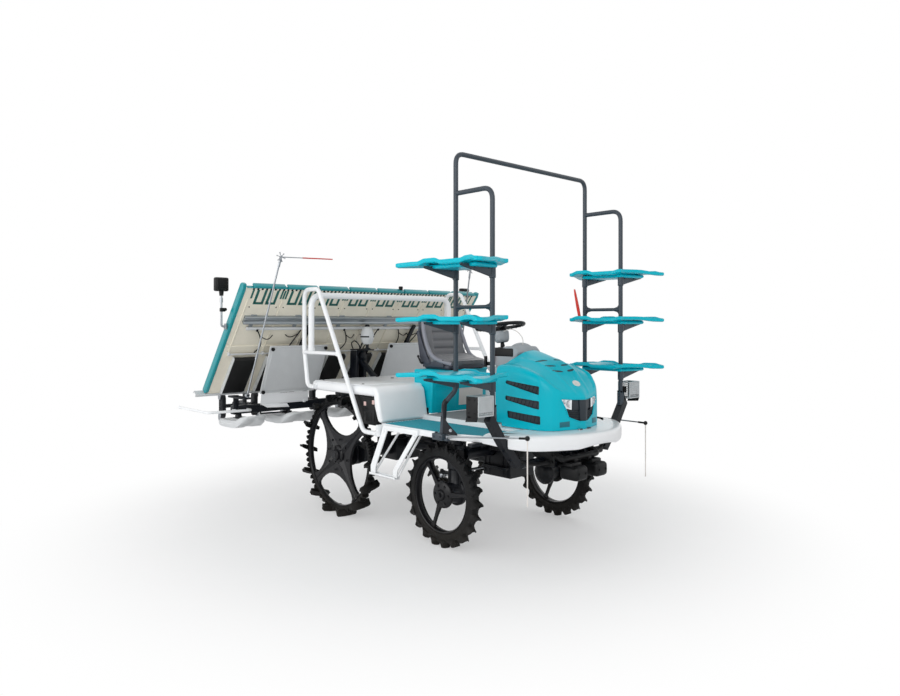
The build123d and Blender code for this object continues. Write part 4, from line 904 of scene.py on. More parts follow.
class RailsAndLadders(bpy.types.Operator):
    """White handrails, the guard rail behind the seat and the boarding ladders"""
    bl_idname = "transplanter.rails"
    bl_label = "Rails and ladders"

    def execute(self, context):
        r = context.scene.transplanter_sizes.rail_radius * 1000
        rails = Piece()
        half = Piece()
        half.tube([(x, RAIL_Y, z) for x, z in ((-1290, 1000), (-1388, 1000), (-1440, 1300), (-1440, 1765),
                                               (-1240, 1765), (-655, 720), (-495, 720))], r, 72, 8)
        half.tube([(-1440, RAIL_Y, 1268), (-965, RAIL_Y, 1268)], 14)
        half.tube([(-1305, 750, 1005), (-1305, 778, 1005)], 14)
        for x in (-1426, -978):
            half.turned([(14, -16), (18, -16), (20, 0), (18, 16), (14, 16)], (x, RAIL_Y, 1268), "X", 24)
        half.block((-504, 735, 700), (-474, 782, 782), 5)
        half.bolts([(-489, 782, 735), (-489, 782, 762)], (0, 1, 0), 8, 5)
        half.block((-1330, 742, 985), (-1282, 758, 1028), 4)
        half.bolts([(-1318, 757, 1018), (-1294, 757, 1018)], (0, 1, 0), 8, 5)
        rails.repeat(half, BOTH_HALVES)
        rails.tube([(GUARD_X, 748, 1262), (GUARD_X, 748, 1720), (GUARD_X, -748, 1720), (GUARD_X, -748, 1262)],
                   24, 95, 8, sides=6)
        for y in (748, -748):
            rails.turned([(18, 1250), (28, 1254), (28, 1300), (24, 1306)], (GUARD_X, y, 0), "Z", 24)
            rails.block((-1442, y - 12, 1256), (GUARD_X, y + 12, 1280), 4)
        rails.done("hand_and_guard_rails", "white_tube", "white_enamel", "handrails", recalc=False)
        ladder = Piece()
        ladder.block((-458, 735, 747), (-86, 752, 783), 3)
        for top, low, wide in (((-436, 749), (-494, 808), 28), ((-112, 749), (-252, 808), 22)):
            ladder.loft([[(x + dx, y + dy, z) for dx, dy in ((-w, -4), (w, -4), (w, 4), (-w, 4))]
                         for x, y, z, w in ((*top, 770, wide - 4), (top[0], top[1] + 2, 745, wide),
                                            (low[0], low[1] - 2, 500, wide), (*low, 450, wide - 3))])
            ladder.bolts([(top[0] - 1, top[1] + 5, 760), (top[0] - 3, top[1] + 8, 738)], (0, 1, 0), 7, 5)
        ladder.prism([(x, y, 441)
                      for x, y in ((-516, 786), (-506, 781), (-244, 781), (-234, 786), (-234, 822),
                                   (-246, 829), (-504, 829), (-516, 822))], (0, 0, 5), 1.5)
        ladder.block((-516, 825, 441), (-234, 829, 457), 1.2)
        ladder.block((-516, 781, 441), (-234, 785, 457), 1.2)
        for i in range(10):
            x = -496 + i * 26
            ladder.prism([(x, 788, 446), (x + 11, 788, 446), (x + 5.5, 788, 452)], (0, 34, 0))
        ladder.rod((-170, 642, 741), (-238, 796, 460), 8.5)
        ladder.rod((-400, 642, 741), (-488, 796, 460), 8.5)
        ladder.tube([(-206, 722, 592), (-190, 760, 604), (-172, 780, 626)], 4)
        ladder.both_sides().done("step_ladders", "white_tube", "white_enamel", "boarding_ladders", smooth=30)
        return {"FINISHED"}


# --- floor, steps, skirt and deck -------------------------------------------------------------
def inset_ring(ring, inset, height):
    """A plan outline moved inwards, at heights given by a function of x."""
    count = len(ring)
    moved = []
    for i, p in enumerate(ring):
        ahead, back = ring[(i + 1) % count] - p, p - ring[i - 1]
        along = (ahead.normalized() + back.normalized()).normalized()
        inward = Vector((-along.y, along.x, 0))
        corner = max(0.4, inward.dot(Vector((-back.normalized().y, back.normalized().x, 0))))
        q = p + inward * inset / corner
        moved.append(Vector((q.x, q.y, height(q.x))))
    return moved


class FloorAndSteps(bpy.types.Operator):
    """White steps with studded mats, and the driver's ribbed floor"""
    bl_idname = "transplanter.floor"
    bl_label = "Floor and steps"

    def execute(self, context):
        step = Piece()
        step.prism([(x, y, 748) for x, y in ((-500, 352), (400, 352), (400, 645), (150, 735), (-500, 735))],
                   (0, 0, 37), 7, 3)
        step.block((-494, 735, 752), (146, 738.5, 762), 1, 1)
        step.block((-500, 352, 783), (398, 364, 791), 3)
        step.block((-500, 720, 783), (148, 732, 790), 3)
        step.prism([(x, y, 783) for x, y in ((148, 720), (148, 733), (396, 644), (396, 631))], (0, 0, 7), 3)
        step.block((-500, 354, 783), (-493, 730, 790), 2)
        step.both_sides().done("step_trays", "white_abs", "white_abs", "side_steps")
        mat = Piece()
        mat.prism([(x, y, 783) for x, y in ((-492, 366), (390, 366), (390, 636), (144, 719), (-492, 719))],
                  (0, 0, 4), 1.5, 1)
        stud = Piece()
        stud.rod((0, 0, 786), (0, 0, 789.5), 6.4, 3.5, sides=4)
        places = []
        for row in range(26):
            y = 374 + row * 13.5
            for i in range(63):
                x = -484 + i * 14 + (7 if row % 2 else 0)
                if x < 384 and (y < 630 or x < 384 - (y - 630) * 2.75):
                    places.append(Matrix.Translation((x, y, 0)))
        mat.repeat(stud, places)
        mat.both_sides().done("step_mats", "floor_rubber", "step_mat", smooth=20)
        floor = Piece()
        floor.block((-500, -349, 746), (250, 349, 818), 10, 3)
        floor.done("floor_tray", "floor_rubber", "white_abs", "floor_panel")
        carpet = Piece()
        carpet.block((-452, -342, 816), (240, 342, 820.5), 2, 1)
        for i in range(32):
            x = -444 + i * 21
            carpet.prism([(x, -334, 820.3), (x + 11, -334, 820.3), (x + 5.5, -334, 823)], (0, 668, 0))
        carpet.done("floor_mats", "floor_rubber", "floor_mat", smooth=20)
        return {"FINISHED"}


def skirt_low(x):
    """Height of the skirt's lower edge, deeper towards the nose and raised again at its middle."""
    t = max(0, min(1, (x - 402) / 300))
    return 742 - 36 * t * t * (3 - 2 * t) + 0.6 * max(0, x - 826)


class NoseSkirt(bpy.types.Operator):
    """White nose skirt round the front of the carrier"""
    bl_idname = "transplanter.skirt"
    bl_label = "Nose skirt"

    def execute(self, context):
        half = [(402, 646), (480, 630), (556, 598), (636, 532), (704, 452), (766, 356), (818, 248),
                (852, 140), (866, 50)]
        front = smooth_line([(x, y, 0) for x, y in half] + [(x, -y, 0) for x, y in reversed(half)], 4)
        ring = [Vector(p) for p in reversed(front)]
        skirt = Piece()
        skirt.loft([inset_ring(ring, d, z) for d, z in (
            (60, lambda x: 786), (17, lambda x: 784), (14, lambda x: skirt_low(x) + 8), (9, skirt_low),
            (3, lambda x: skirt_low(x) + 5), (0, lambda x: skirt_low(x) + 20), (0, lambda x: 772),
            (3, lambda x: 786), (10, lambda x: 795), (22, lambda x: 800), (60, lambda x: 804),
            (120, lambda x: 804))])
        skirt.block((252, -349, 790), (420, 349, 800), 3)
        bmesh.ops.recalc_face_normals(skirt.bm, faces=skirt.bm.faces)
        notch = Piece()
        notch.prism([(508, y, z) for y, z in ((575, 812), (660, 812), (660, 680), (462, 680))],
                    (64, 0, 0), 8, 2)
        notch.both_sides()
        skirt.cut(notch)
        skirt.done("nose_skirt", "white_abs", "white_abs", "front_skirt", smooth=30, recalc=False)
        hinge = Piece()
        for y in (-62, 62):
            hinge.block((716, y - 3.5, 796), (728, y + 3.5, 812), 2)
        for low, high in ((-68, -31), (31, 68)):
            hinge.rod((HINGE_X, low, HOOD_FOOT), (HINGE_X, high, HOOD_FOOT), 2.5)
        hinge.done("hood_hinge_ears", "chassis_paint", "bright_steel")
        return {"FINISHED"}


class RearDeck(bpy.types.Operator):
    """Rounded rear deck, its fenders and the battery boxes"""
    bl_idname = "transplanter.deck"
    bl_label = "Rear deck"

    def execute(self, context):
        deck = Piece()
        deck.block((-1380, -750, 970), (-560, 750, 1045), 30, 4)
        for side, low, high in strips(301, 749):
            deck.slab(((-636, 985), (-626, 1044), (-564, 1044), (-521, 1012), (-484, 814), (-484, 792),
                       (-524, 792), (-566, 900), (-576, 985)), low, high - low, 26, 4)
            deck.block((-1330, low + 30 * (side > 0), 1042), (-700, high - 30 * (side < 0), 1049), 5)
        deck.done("deck_and_fenders", "white_abs", "white_abs", "rear_deck", smooth=50)
        trim = Piece()
        for x in (-1300, -1100):
            for y in (-150, 150):
                trim.turned([(6, 1046), (6, 1050.5), (11, 1050.5), (13, 1048), (13, 1046), (6, 1046)],
                            (x, y, 0), "Z", 24)
        for side in (1, -1):
            for x in (-1280, -760):
                trim.turned([(0, 1048), (10, 1048), (10, 1051), (8, 1052.5), (0, 1052.5)],
                            (x, side * 700, 0), "Z", 20)
        trim.done("deck_grommets", "black_moulding", "black_moulding")
        box = Piece()
        box.block((-712, 562, 762), (-562, 734, 966), 14, 3)
        box.block((-718, 556, 946), (-556, 738, 964), 6)
        box.slab(((-700, 770), (-700, 968), (-880, 968), (-862, 900), (-792, 830), (-742, 770)), 712, 21, 6)
        box.slab(((-704, 868), (-574, 874), (-576, 790), (-600, 772), (-676, 772), (-696, 800)), 733, 5, 2)
        for x in (-668, -640, -612):
            box.block((x - 4, 736, 790), (x + 4, 741, 856), 2, 1)
        for z in (790, 905):
            box.block((-714, 580, z), (-708, 700, z + 8), 2, 1)
        box.block((-562, 600, 802), (-522, 700, 858), 5)
        box.rod((-690, 640, 966), (-690, 640, 984), 10)
        box.rod((-640, 610, 966), (-640, 610, 980), 12)
        box.tube([(-690, 640, 980), (-672, 690, 984), (-600, 700, 984), (-580, 690, 962)], 7, 20)
        box.both_sides().done("battery_cases", "black_moulding", "black_moulding", "battery_boxes")
        plate = Piece()
        for x, z in ((-690, 914), (-591, 930)):
            plate.block((x - 14, 733, z - 15), (x + 14, 736.5, z + 15), 1.2, 1)
        plate.both_sides().done("blank_plates", "black_moulding", "label_pink")
        return {"FINISHED"}


# --- seat, console and steering ---------------------------------------------------------------
STEERING_HUB, STEERING_TILT = (-30, 0, 1476), radians(9)


def seat_box_front(z, proud=0):
    """Forward reach of the seat box's leaning front face, or of a face that stands proud of it."""
    return proud - 442 - (1148 - z) * 0.046


class SeatBoxAndDash(bpy.types.Operator):
    """Turquoise seat box, dash cowl, column pod, pedals and controls"""
    bl_idname = "transplanter.seat_box"
    bl_label = "Seat box and dash"

    def execute(self, context):
        box = Piece()
        box.slab(((-660, 862), (-660, 1148), (-442, 1148), (-457, 823), (-498, 823), (-498, 862)),
                 -293, 586, 12, 3)
        for low, high, z0, z1 in ((-262, -40, 1016, 1100), (-262, -40, 852, 990), (40, 262, 1016, 1100)):
            box.prism([(seat_box_front(z, -2), y, z)
                       for y, z in ((low, z0), (high, z0), (high, z1), (low, z1))], (4, 0, 0), 3, 2)
        for side, low, high in strips(292, 296):
            box.block((-640, low, 990), (-470, high, 1120), 4)
        box.block((-468, -294, 1126), (-438, 294, 1148), 8, 3)
        box.done("seat_box_cover", "turquoise_abs", "turquoise_abs", "seat_box")
        plate = Piece()
        plate.prism([(seat_box_front(z), y, z) for y, z in ((-13, 867), (247, 867), (247, 997), (-13, 997))],
                    (2.5, 0, 0), 1, 2)
        plate.done("seat_box_plate", "turquoise_abs", "blank_plate")
        dash = Piece()
        dash.slab(((122, 823), (122, 1058), (-14, 1188), (186, 1188), (186, 1062), (247, 1000), (247, 823)),
                  -178, 356, 12, 3)
        dash.slab(((40, 1180), (0, 1230), (4, 1290), (30, 1318), (60, 1314), (128, 1336), (214, 1334),
                   (252, 1296), (184, 1180)), -123, 246, 14, 3)
        dash.ball((172, 0, 1262), 99, (0.98, 1.18, 1), sides=40)
        dash.done("dash_cover", "dash_abs", "dash_abs", "dash_cowl", smooth=45)
        hub, axis = Vector(STEERING_HUB), Vector((sin(STEERING_TILT), 0, -cos(STEERING_TILT)))
        pod = Piece()
        pod.turned([(11, 36), (50, 37), (56, 42), (57, 60), (54, 96), (48, 112), (38, 119), (11, 120)],
                   axis="Z")
        pod.place(Matrix.Translation(hub) @ Matrix.Rotation(pi - STEERING_TILT, 4, "Y"))
        pod.done("column_pod", "dash_abs", "dash_abs")
        dark = Piece()
        # a black ring in the gap between the steering hub and the column pod: painted shade in that gap
        dark.rod(hub + axis * 24, hub + axis * 37, 40, 42, 32)
        dark.rod(hub + axis * 118, hub + axis * 150, 13, 17)
        # a dark cover over the dash top, slightly wider than the dash's upper part: partly the instrument
        # cover, partly painted shade on the dash's sides
        dark.block((-6, -127, 1262), (206, 127, 1324), 10, 3)
        dark.block((-35, -30, 1262), (20, 30, 1325), 8, 3)
        dark.block((-44, -160, 1184), (-26, -140, 1263), 4)
        dark.block((-60, -142, 1196), (10, -124, 1222), 4)
        dark.rod((20, -133, 1206), (20, -133, 1232), 8)
        for side in (1, -1):
            dark.slab(((150, 822), (196, 822), (206, 900), (196, 905)), side * 300, 12, 2)
            dark.block((118, side * 306 - 32, 858), (128, side * 306 + 32, 926), 5, 2,
                       Matrix.Rotation(radians(-28), 4, "Y"))
            dark.rod((122, side * 306, 890), (196, side * 306, 850), 8)
        dark.done("levers_pedals_and_painted_shade", "black_moulding", "black_moulding")
        knob = Piece()
        knob.turned([(0, 1226), (10, 1227), (14, 1236), (15, 1254), (12, 1268), (6, 1273), (0, 1274)],
                    (20, -133, 0), "Z", 24)
        knob.done("control_knobs", "black_moulding", "signal_red")
        wire = Piece()
        wire.tube(smooth_line([(40, -40, 1438), (96, -36, 1456), (146, -32, 1445), (188, -30, 1417),
                               (212, -30, 1384), (212, -30, 1346)], 6), 3)
        wire.done("dash_wire", "dash_abs", "blank_plate")
        return {"FINISHED"}


class SteeringWheel(bpy.types.Operator):
    """Three-spoke steering wheel"""
    bl_idname = "transplanter.steering_wheel"
    bl_label = "Steering wheel"

    def execute(self, context):
        wheel = Piece()
        wheel.turned([(172 + 13 * cos(a), 13 * sin(a)) for a in (2 * pi * i / 14 for i in range(15))],
                     axis="Z", steps=72)
        spoke = Piece()
        spoke.loft([[(x, w * y, z + h * t)
                     for y, t in ((-1, -1), (1, -1), (1.15, 0), (1, 1), (-1, 1), (-1.15, 0))]
                    for x, w, z, h in ((26, 20, -14, 5), (70, 15, -12, 4), (130, 12, -6, 4),
                                       (170, 16, 0, 5))])
        wheel.repeat(spoke, around((0, 0, 0), "Z", 3, radians(90)))
        wheel.turned([(0, 6), (26, 5), (38, -4), (40, -20), (28, -34), (10, -36), (10, -176), (0, -176)],
                     axis="Z", steps=40)
        for i in range(24):
            angle = 2 * pi * i / 24
            wheel.ball((172 * cos(angle), 172 * sin(angle), -11), 5, sides=8)
        wheel.place(Matrix.Translation(STEERING_HUB) @ Matrix.Rotation(-STEERING_TILT, 4, "Y"))
        wheel.done("steering_rim", "black_moulding", "black_moulding", "steering_wheel",
                   body="steering_column")
        return {"FINISHED"}


# cloth pressure and frames that blow a pad up, the cuts across its faces, and how square it stays
PAD_PRESSURE, PAD_FRAMES, PAD_CUTS, PAD_SQUARENESS = 4, 14, 30, 7


def crowned_pad(name, low, high, shape, cap_mm, node):
    """A sewn pad: a rounded block blown up as cloth, then shaped by a function of its own points.

    No point moves more than cap_mm as it is blown up.
    """
    pad = Piece()
    pad.block(low, high)
    bmesh.ops.subdivide_edges(pad.bm, edges=pad.bm.edges, cuts=PAD_CUTS, use_grid_fill=True)
    made = pad.done(name, "seat_vinyl", "seat_vinyl", node)
    mesh = made.data
    centre = (Vector(low) + Vector(high)) / 2
    half = (Vector(high) - Vector(low)) / 2
    for v in mesh.vertices:
        p = (v.co - AXLE) * 1000 - centre
        q = Vector((p.x / half.x, p.y / half.y, p.z / half.z))
        size = max(abs(q.x), abs(q.y), abs(q.z))
        norm = sum(abs(c) ** PAD_SQUARENESS for c in q) ** (1 / PAD_SQUARENESS)
        q *= size / norm if norm else 1
        v.co = Vector((q.x * half.x, q.y * half.y, q.z * half.z)) * 0.001 + centre * 0.001 + AXLE
    start = [v.co.copy() for v in mesh.vertices]
    cloth = made.modifiers.new("blow", "CLOTH")
    cloth.settings.use_pressure = True
    cloth.settings.uniform_pressure_force = PAD_PRESSURE
    cloth.settings.effector_weights.gravity = 0
    cloth.settings.quality = 5
    scene = bpy.context.scene
    for frame_number in range(1, PAD_FRAMES + 1):
        scene.frame_set(frame_number)
    graph = bpy.context.evaluated_depsgraph_get()
    blown = [v.co.copy() for v in made.evaluated_get(graph).data.vertices]
    made.modifiers.remove(cloth)
    scene.frame_set(1)
    for v, before, after in zip(mesh.vertices, start, blown):
        step = after - before
        if step.length > cap_mm / 1000:
            step *= cap_mm / 1000 / step.length
        v.co = before + step
    for v in mesh.vertices:
        p = (v.co - AXLE) * 1000
        v.co = shape(p) * 0.001 + AXLE
    subdivision = made.modifiers.new("Smooth", "SUBSURF")
    subdivision.levels = subdivision.render_levels = 1


def groove(distance, width):
    """Depth share of a sewn channel at a distance from its line."""
    return max(0.0, 1 - abs(distance) / width) ** 1.5


class Seat(bpy.types.Operator):
    """Vinyl seat cushion and backrest with sewn channels on a dark shell"""
    bl_idname = "transplanter.seat"
    bl_label = "Seat"

    def execute(self, context):
        def cushion(p):
            along = (p.x + 482) / 132
            top = max(0, (p.z - 1215) / 40)
            seam = groove(abs(p.y) - 142, 9) * (p.x < -398) + groove(p.x + 396, 9) * (abs(p.y) < 148)
            channel = sum(groove(p.x - x, 9) for x in (-438, -494, -550)) * (abs(p.y) < 140)
            bolster = 8 * max(0, abs(p.y) / 208 - 0.62) - 4 * max(0, 0.62 - abs(p.y) / 208)
            slope = 40 * max(0, min(1, (along + 0.5) / 1.4))
            p.z += top * (bolster - 7 * min(1, seam) - 4.5 * min(1, channel) - slope)
            p.y *= 1 - 0.09 * max(0, along) ** 2
            return Vector((max(-617, min(-346, p.x)), p.y, max(1172.6, min(1262, p.z))))

        crowned_pad("seat_pad", (-614, -208, 1175), (-350, 208, 1254), cushion, 8, "seat_cushion")

        def backrest(p):
            up = (p.z - 1180) / 365
            face = max(0, (p.x + 636) / 30)
            bolster = max(0, abs(p.y) - 132) / 76
            seam = groove(abs(p.y) - 132, 9) * (up < 0.88) + groove(up * 365 - 322, 9) * (abs(p.y) < 136)
            channel = sum(groove(up * 365 - h, 13) for h in (122, 182, 246)) * (abs(p.y) < 130)
            p.x += face * (18 * bolster * (1 - 0.7 * up) - 7 * min(1, seam) - 15 * min(1, channel))
            p.y *= 1 - 0.16 * max(0, up - 0.35) ** 1.5 + 0.02 * max(0, 0.4 - up)
            return Vector((p.x - (p.z - 1180) * 0.26 + 28, p.y, p.z))

        crowned_pad("seat_back", (-668, -208, 1186), (-606, 208, 1541), backrest, 9, "seat_backrest")
        roll = Piece()
        edge = [(-366, 172, 1190), (-420, 194, 1204), (-490, 202, 1222), (-552, 205, 1254), (-596, 206, 1314),
                (-632, 204, 1390), (-658, 195, 1462), (-676, 172, 1514), (-684, 120, 1534), (-688, 50, 1540)]
        path = smooth_line(edge + [(x, -y, z) for x, y, z in reversed(edge)], 5)
        roll.tube(path, 15, sides=5)
        roll.done("seat_edge_roll", "seat_vinyl", "seat_piping")
        shell = Piece()
        shell.block((-650, -196, 1150), (-372, 196, 1186), 12, 3)
        for _, low, high in strips(194, 208):
            shell.block((-655, low, 1162), (-420, high, 1222), 6)
        rings = []
        for z, half, x, thick in ((1168, 196, -640, 26), (1230, 210, -662, 24), (1320, 214, -690, 24),
                                  (1420, 208, -716, 24), (1500, 188, -738, 20), (1534, 164, -744, 12)):
            ring = [(x + 26, -half, z), (x, -half * 0.9, z), (x - 8, 0, z), (x, half * 0.9, z),
                    (x + 26, half, z), (x + 22 + thick * 0.4, half * 0.9, z), (x + thick, 0, z),
                    (x + 22 + thick * 0.4, -half * 0.9, z)]
            rings.append(smooth_line(ring, 3, closed=True))
        shell.loft(rings)
        for _, low, high in strips(200, 215):
            shell.slab(((-672, 1180), (-560, 1188), (-596, 1240), (-646, 1330), (-696, 1440), (-722, 1440),
                        (-694, 1300)), low, high - low, 4)
        shell.done("seat_shell", "black_moulding", "seat_shell", "seat_pan", smooth=50)
        rails = Piece()
        for y in (-150, 150):
            rails.block((-650, y - 18, 1146), (-374, y + 18, 1156), 2)
        rails.tube([(-640, -205, 1190), (-646, -236, 1194), (-656, -238, 1214), (-668, -240, 1238)], 6, 8)
        rails.ball((-669, -240, 1243), 10)
        rails.done("seat_rails", "black_moulding", "black_moulding")
        return {"FINISHED"}


# --- hood -------------------------------------------------------------------------------------
# sections of the hood from its rear edge to its nose: x at the middle, how far x falls back per
# millimetre outward, then (y, z) from the crown to the lower edge
HOOD_SECTIONS = (
    (200, 0, ((0, 1330), (72, 1312), (134, 1268), (204, 1222), (284, 1190), (298, 1000), (292, 806))),
    (300, 0, ((0, 1302), (78, 1292), (142, 1260), (214, 1224), (288, 1194), (303, 980), (296, 806))),
    (420, 0, ((0, 1254), (84, 1249), (156, 1230), (226, 1204), (290, 1178), (304, 950), (297, 806))),
    (550, 0, ((0, 1184), (82, 1181), (152, 1172), (225, 1158), (284, 1140), (298, 920), (292, 806))),
    (640, 0.12, ((0, 1110), (70, 1110), (135, 1109), (200, 1106), (262, 1096), (276, 905), (270, 806))),
    (690, 0.2, ((0, 1064), (60, 1066), (120, 1070), (180, 1072), (236, 1066), (250, 900), (246, 806))),
    (714, 0.26, ((0, 1032), (40, 1036), (90, 1046), (150, 1055), (216, 1055), (232, 900), (229, 806))),
    (725, 0.28, ((0, 1010), (34, 1014), (80, 1024), (138, 1034), (200, 1036), (214, 900), (211, 806))))
# the grille's outline and the lamp's, from the middle outward, as (y, z)
GRILLE = ((0, 1000), (100, 1004), (192, 1013), (152, 944), (130, 888), (46, 856), (0, 855))
LAMP = ((104, 934), (150, 947), (186, 1008), (102, 1001))
# the hinge at its foot, the tip of its nose and how far each flat face falls back outward
HINGE_X, HOOD_FOOT, NOSE_X, NOSE_LEAN = 722, 806, 725, 0.28
# side vents: rear low, rear high, front high, front low as (x, z)
VENTS = (((290, 1096), (300, 1117), (572, 1090), (572, 1035)),
         ((292, 986), (294, 1015), (575, 996), (575, 941)),
         ((312, 868), (308, 915), (583, 899), (583, 844)))


def nose(y):
    """Forward reach of the two flat faces of the nose."""
    return NOSE_X - NOSE_LEAN * abs(y)


def on_nose(side, depth, outline):
    """A (y, z) outline laid on one flat face of the nose, at a depth behind it."""
    return [(nose(y) - depth, y * side, z) for y, z in outline]


class Hood(bpy.types.Operator):
    """Turquoise hood with its vents, grille and headlamps"""
    bl_idname = "transplanter.hood"
    bl_label = "Hood"

    def execute(self, context):
        shell = Piece()
        columns = [smooth_line(column, 4) for column in
                   zip(*[[Vector((x - lean * y, y, z)) for y, z in half] for x, lean, half in HOOD_SECTIONS])]
        rings = []
        for half in zip(*columns):
            ring = smooth_line([Vector((p.x, -p.y, p.z)) for p in reversed(half)] + list(half)[1:], 6)
            crest = 178 - 0.2 * (half[0].x - 200)
            for p in ring:
                p.z += 5 * max(0, 1 - abs(abs(p.y) - crest) / 22) * (p.z > 1030)
            rings.append(ring)
        rim = shell.loft(rings, closed=False, capped=False)[-len(rings[0]):]
        foot, crown = shell.bm.verts.new((NOSE_X, 0, HOOD_FOOT)), len(rim) // 2
        shell.bm.faces.new(rim[:crown + 1] + [foot])
        shell.bm.faces.new(rim[crown:] + [foot])
        bmesh.ops.recalc_face_normals(shell.bm, faces=shell.bm.faces)
        skin = BVHTree.FromBMesh(shell.bm)
        bmesh.ops.solidify(shell.bm, geom=shell.bm.faces, thickness=4)
        cutter = Piece()
        cutter.slab(((100, 1205), (200, 1205), (289, 1322), (289, 1400), (100, 1400)), -400, 800)
        cutter.block((150, -400, 780), (255, 400, 827))
        cutter.prism([(600, y, z) for y, z in GRILLE[1:]] + [(600, -y, z) for y, z in reversed(GRILLE[1:-1])],
                     (200, 0, 0))
        for side, low, high in strips(56, 70):
            cutter.block((708, low, 800), (736, high, 822))
        vents = Piece()
        fins = Piece()
        frames = Piece()
        for side in (1, -1):
            for corners in VENTS:
                cutter.slab(corners, 200 * side, 140 * side, 7, 3)
                rear_low, rear_high, front_high, front_low = corners
                wide = ((rear_low[0] - 14, rear_low[1] - 12), (rear_high[0] - 14, rear_high[1] + 12),
                        (front_high[0] + 14, front_high[1] + 10), (front_low[0] + 14, front_low[1] - 12))
                found = [skin.ray_cast((x, 400 * side, h), (0, -side, 0))[0] for x, h in wide]
                vents.prism([p - Vector((0, 9 * side, 0)) for p in found], (0, -3 * side, 0))
                low_rear, high_rear, high_front, low_front = found
                width = Vector((10, 0, 0))
                for i in range(8):
                    share = 0.1 + 0.1 * i
                    lower, upper = low_rear.lerp(low_front, share), high_rear.lerp(high_front, share + 0.07)
                    fins.prism([p - Vector((0, 7 * side, 0)) for p in
                                (lower, lower + width, upper + width, upper)], (0, -4 * side, 0))
        for side in (1, -1):
            for x, y, reach in ((428, 87, 54), (496, 76, 49), (553, 70, 47)):
                hole, panel = [], []
                for step in range(7):
                    share = step / 3 - 1
                    wide = 9 * (1 - share ** 4 * 0.6)
                    ends = [skin.ray_cast((x - side * share * 8 + dx, side * y + share * reach, 2000),
                                          (0, 0, -1))[0] for dx in (-wide, wide)]
                    for layers, over, under in ((hole, 12, -14), (panel, -2, -7)):
                        layers.append([p + Vector((0, 0, h)) for p, h in
                                      zip((*ends, *reversed(ends)), (over, over, under, under))])
                cutter.loft(hole)
                frames.loft(panel)
        shell.cut(cutter)
        rim_line = on_nose(1, -1, GRILLE[1:]) + on_nose(-1, -1, GRILLE[-2::-1])
        shell.tube(rim_line, 3.5, 6, 3, 3, closed=True)
        shell.done("hood_cover", "turquoise_abs", "turquoise_abs", "hood_shell", body="hood", smooth=32)
        hinge = Piece()
        for side in (1, -1):
            hinge.turned([(3, -14), (6, -14), (6, 14), (3, 14), (3, -14)],
                         (HINGE_X, 44 * side, HOOD_FOOT), "Y", 20)
            hinge.block((690, 44 * side - 14, HOOD_FOOT), (715, 44 * side + 14, 810), 1)
        vents.repeat(fins).repeat(frames).repeat(hinge)
        vents.done("hood_louvres", "black_moulding", "louvre_black", body="hood", smooth=30)
        badge = Piece()
        spot, up = skin.ray_cast((653, 0, 2000), (0, 0, -1))[:2]
        badge.turned([(0, -3), (29, -3), (29, 2), (26, 5), (22, 5.6), (20, 4.4), (0, 5.4)],
                     axis="Z", steps=40)
        badge.place(Matrix.Translation(spot + Vector((0, 0, 1))) @
                    Vector((0, 0, 1)).rotation_difference(up).to_matrix().to_4x4() @
                    Matrix.Diagonal((0.9, 1.15, 1, 1)))
        badge.done("blank_badge", "turquoise_abs", "blank_plate", body="hood")
        label = Piece()
        for side in (1, -1):
            label.prism(on_nose(side, 1, ((122, 828), (198, 826), (198, 860), (122, 863))), (2.5, 0, 0), 1, 2)
        label.done("blank_labels", "turquoise_abs", "label_teal", body="hood")
        grille = Piece()
        for side in (1, -1):
            grille.prism(on_nose(side, 14, ((0, 1006), (100, 1010), (200, 1020), (158, 942), (136, 882),
                                            (48, 850), (0, 849))), (-6, 0, 0))
            for i in range(6):
                z = 866 + 11 * i
                edge = min(150, 66 + (z - 858) * 1.7)
                grille.prism(on_nose(side, 14, ((44, z - 4), (edge, z), (edge, z + 4), (44, z))),
                             (14, 0, 0), 0.8, 1)
            for outline, proud, bevel, segments in (
                    (((0, 858), (38, 861), (44, 1000), (0, 998)), 15, 3, 2),
                    (((44, 934), (92, 934), (92, 1000), (50, 998)), 9, 2, 2),
                    (((92, 926), (156, 940), (156, 934), (92, 920)), 15, 1.5, 1),
                    (((93, 926), (99, 927), (97, 1003), (91, 1003)), 15, 1.5, 1)):
                grille.prism(on_nose(side, 14, outline), (proud, 0, 0), bevel, segments)
        grille.done("grille_panel", "black_moulding", "louvre_black", "hood_grille", body="hood", smooth=30)
        lens = Piece()
        bowl = Piece()
        for side in (1, -1):
            lens.prism(on_nose(side, 11, LAMP), (11, 0, 0), 4, 3)
            for y, z, radius in ((128, 976, 25), (164, 990, 13)):
                place = (nose(y) + 1, y * side, z)
                bowl.turned([(0, -2), (radius * 0.3, -1), (radius * 0.32, 1.5), (radius * 0.6, 0),
                             (radius, 1), (radius, 2.5), (radius * 0.92, 2.5), (radius * 0.9, 1.5)],
                            place, "X", 28)
        lens.done("lamp_lenses", "lamp_lens", "lamp_lens", "headlamps", body="hood", smooth=30)
        bowl.done("lamp_bowls", "lamp_lens", "chrome_rod", body="hood")
        return {"FINISHED"}


# --- seedling platform ------------------------------------------------------------------------
SLOPE = radians(52.3)
# puts (along the lane, across, out of the front face) on the leaning platform
PLATFORM = Matrix(((-cos(SLOPE), 0, sin(SLOPE), -1506), (0, 1, 0, 0),
                   (-sin(SLOPE), 0, -cos(SLOPE), 1780), (0, 0, 0, 1)))
LANE_WIDTH = 300
LANES = [LANE_WIDTH * (i + 0.5) for i in range(-4, 4)]
DIVIDERS = [LANE_WIDTH * i for i in range(-4, 5)]


def lay(piece):
    """Turn a piece built flat onto the leaning platform."""
    piece.place(PLATFORM)
    return piece


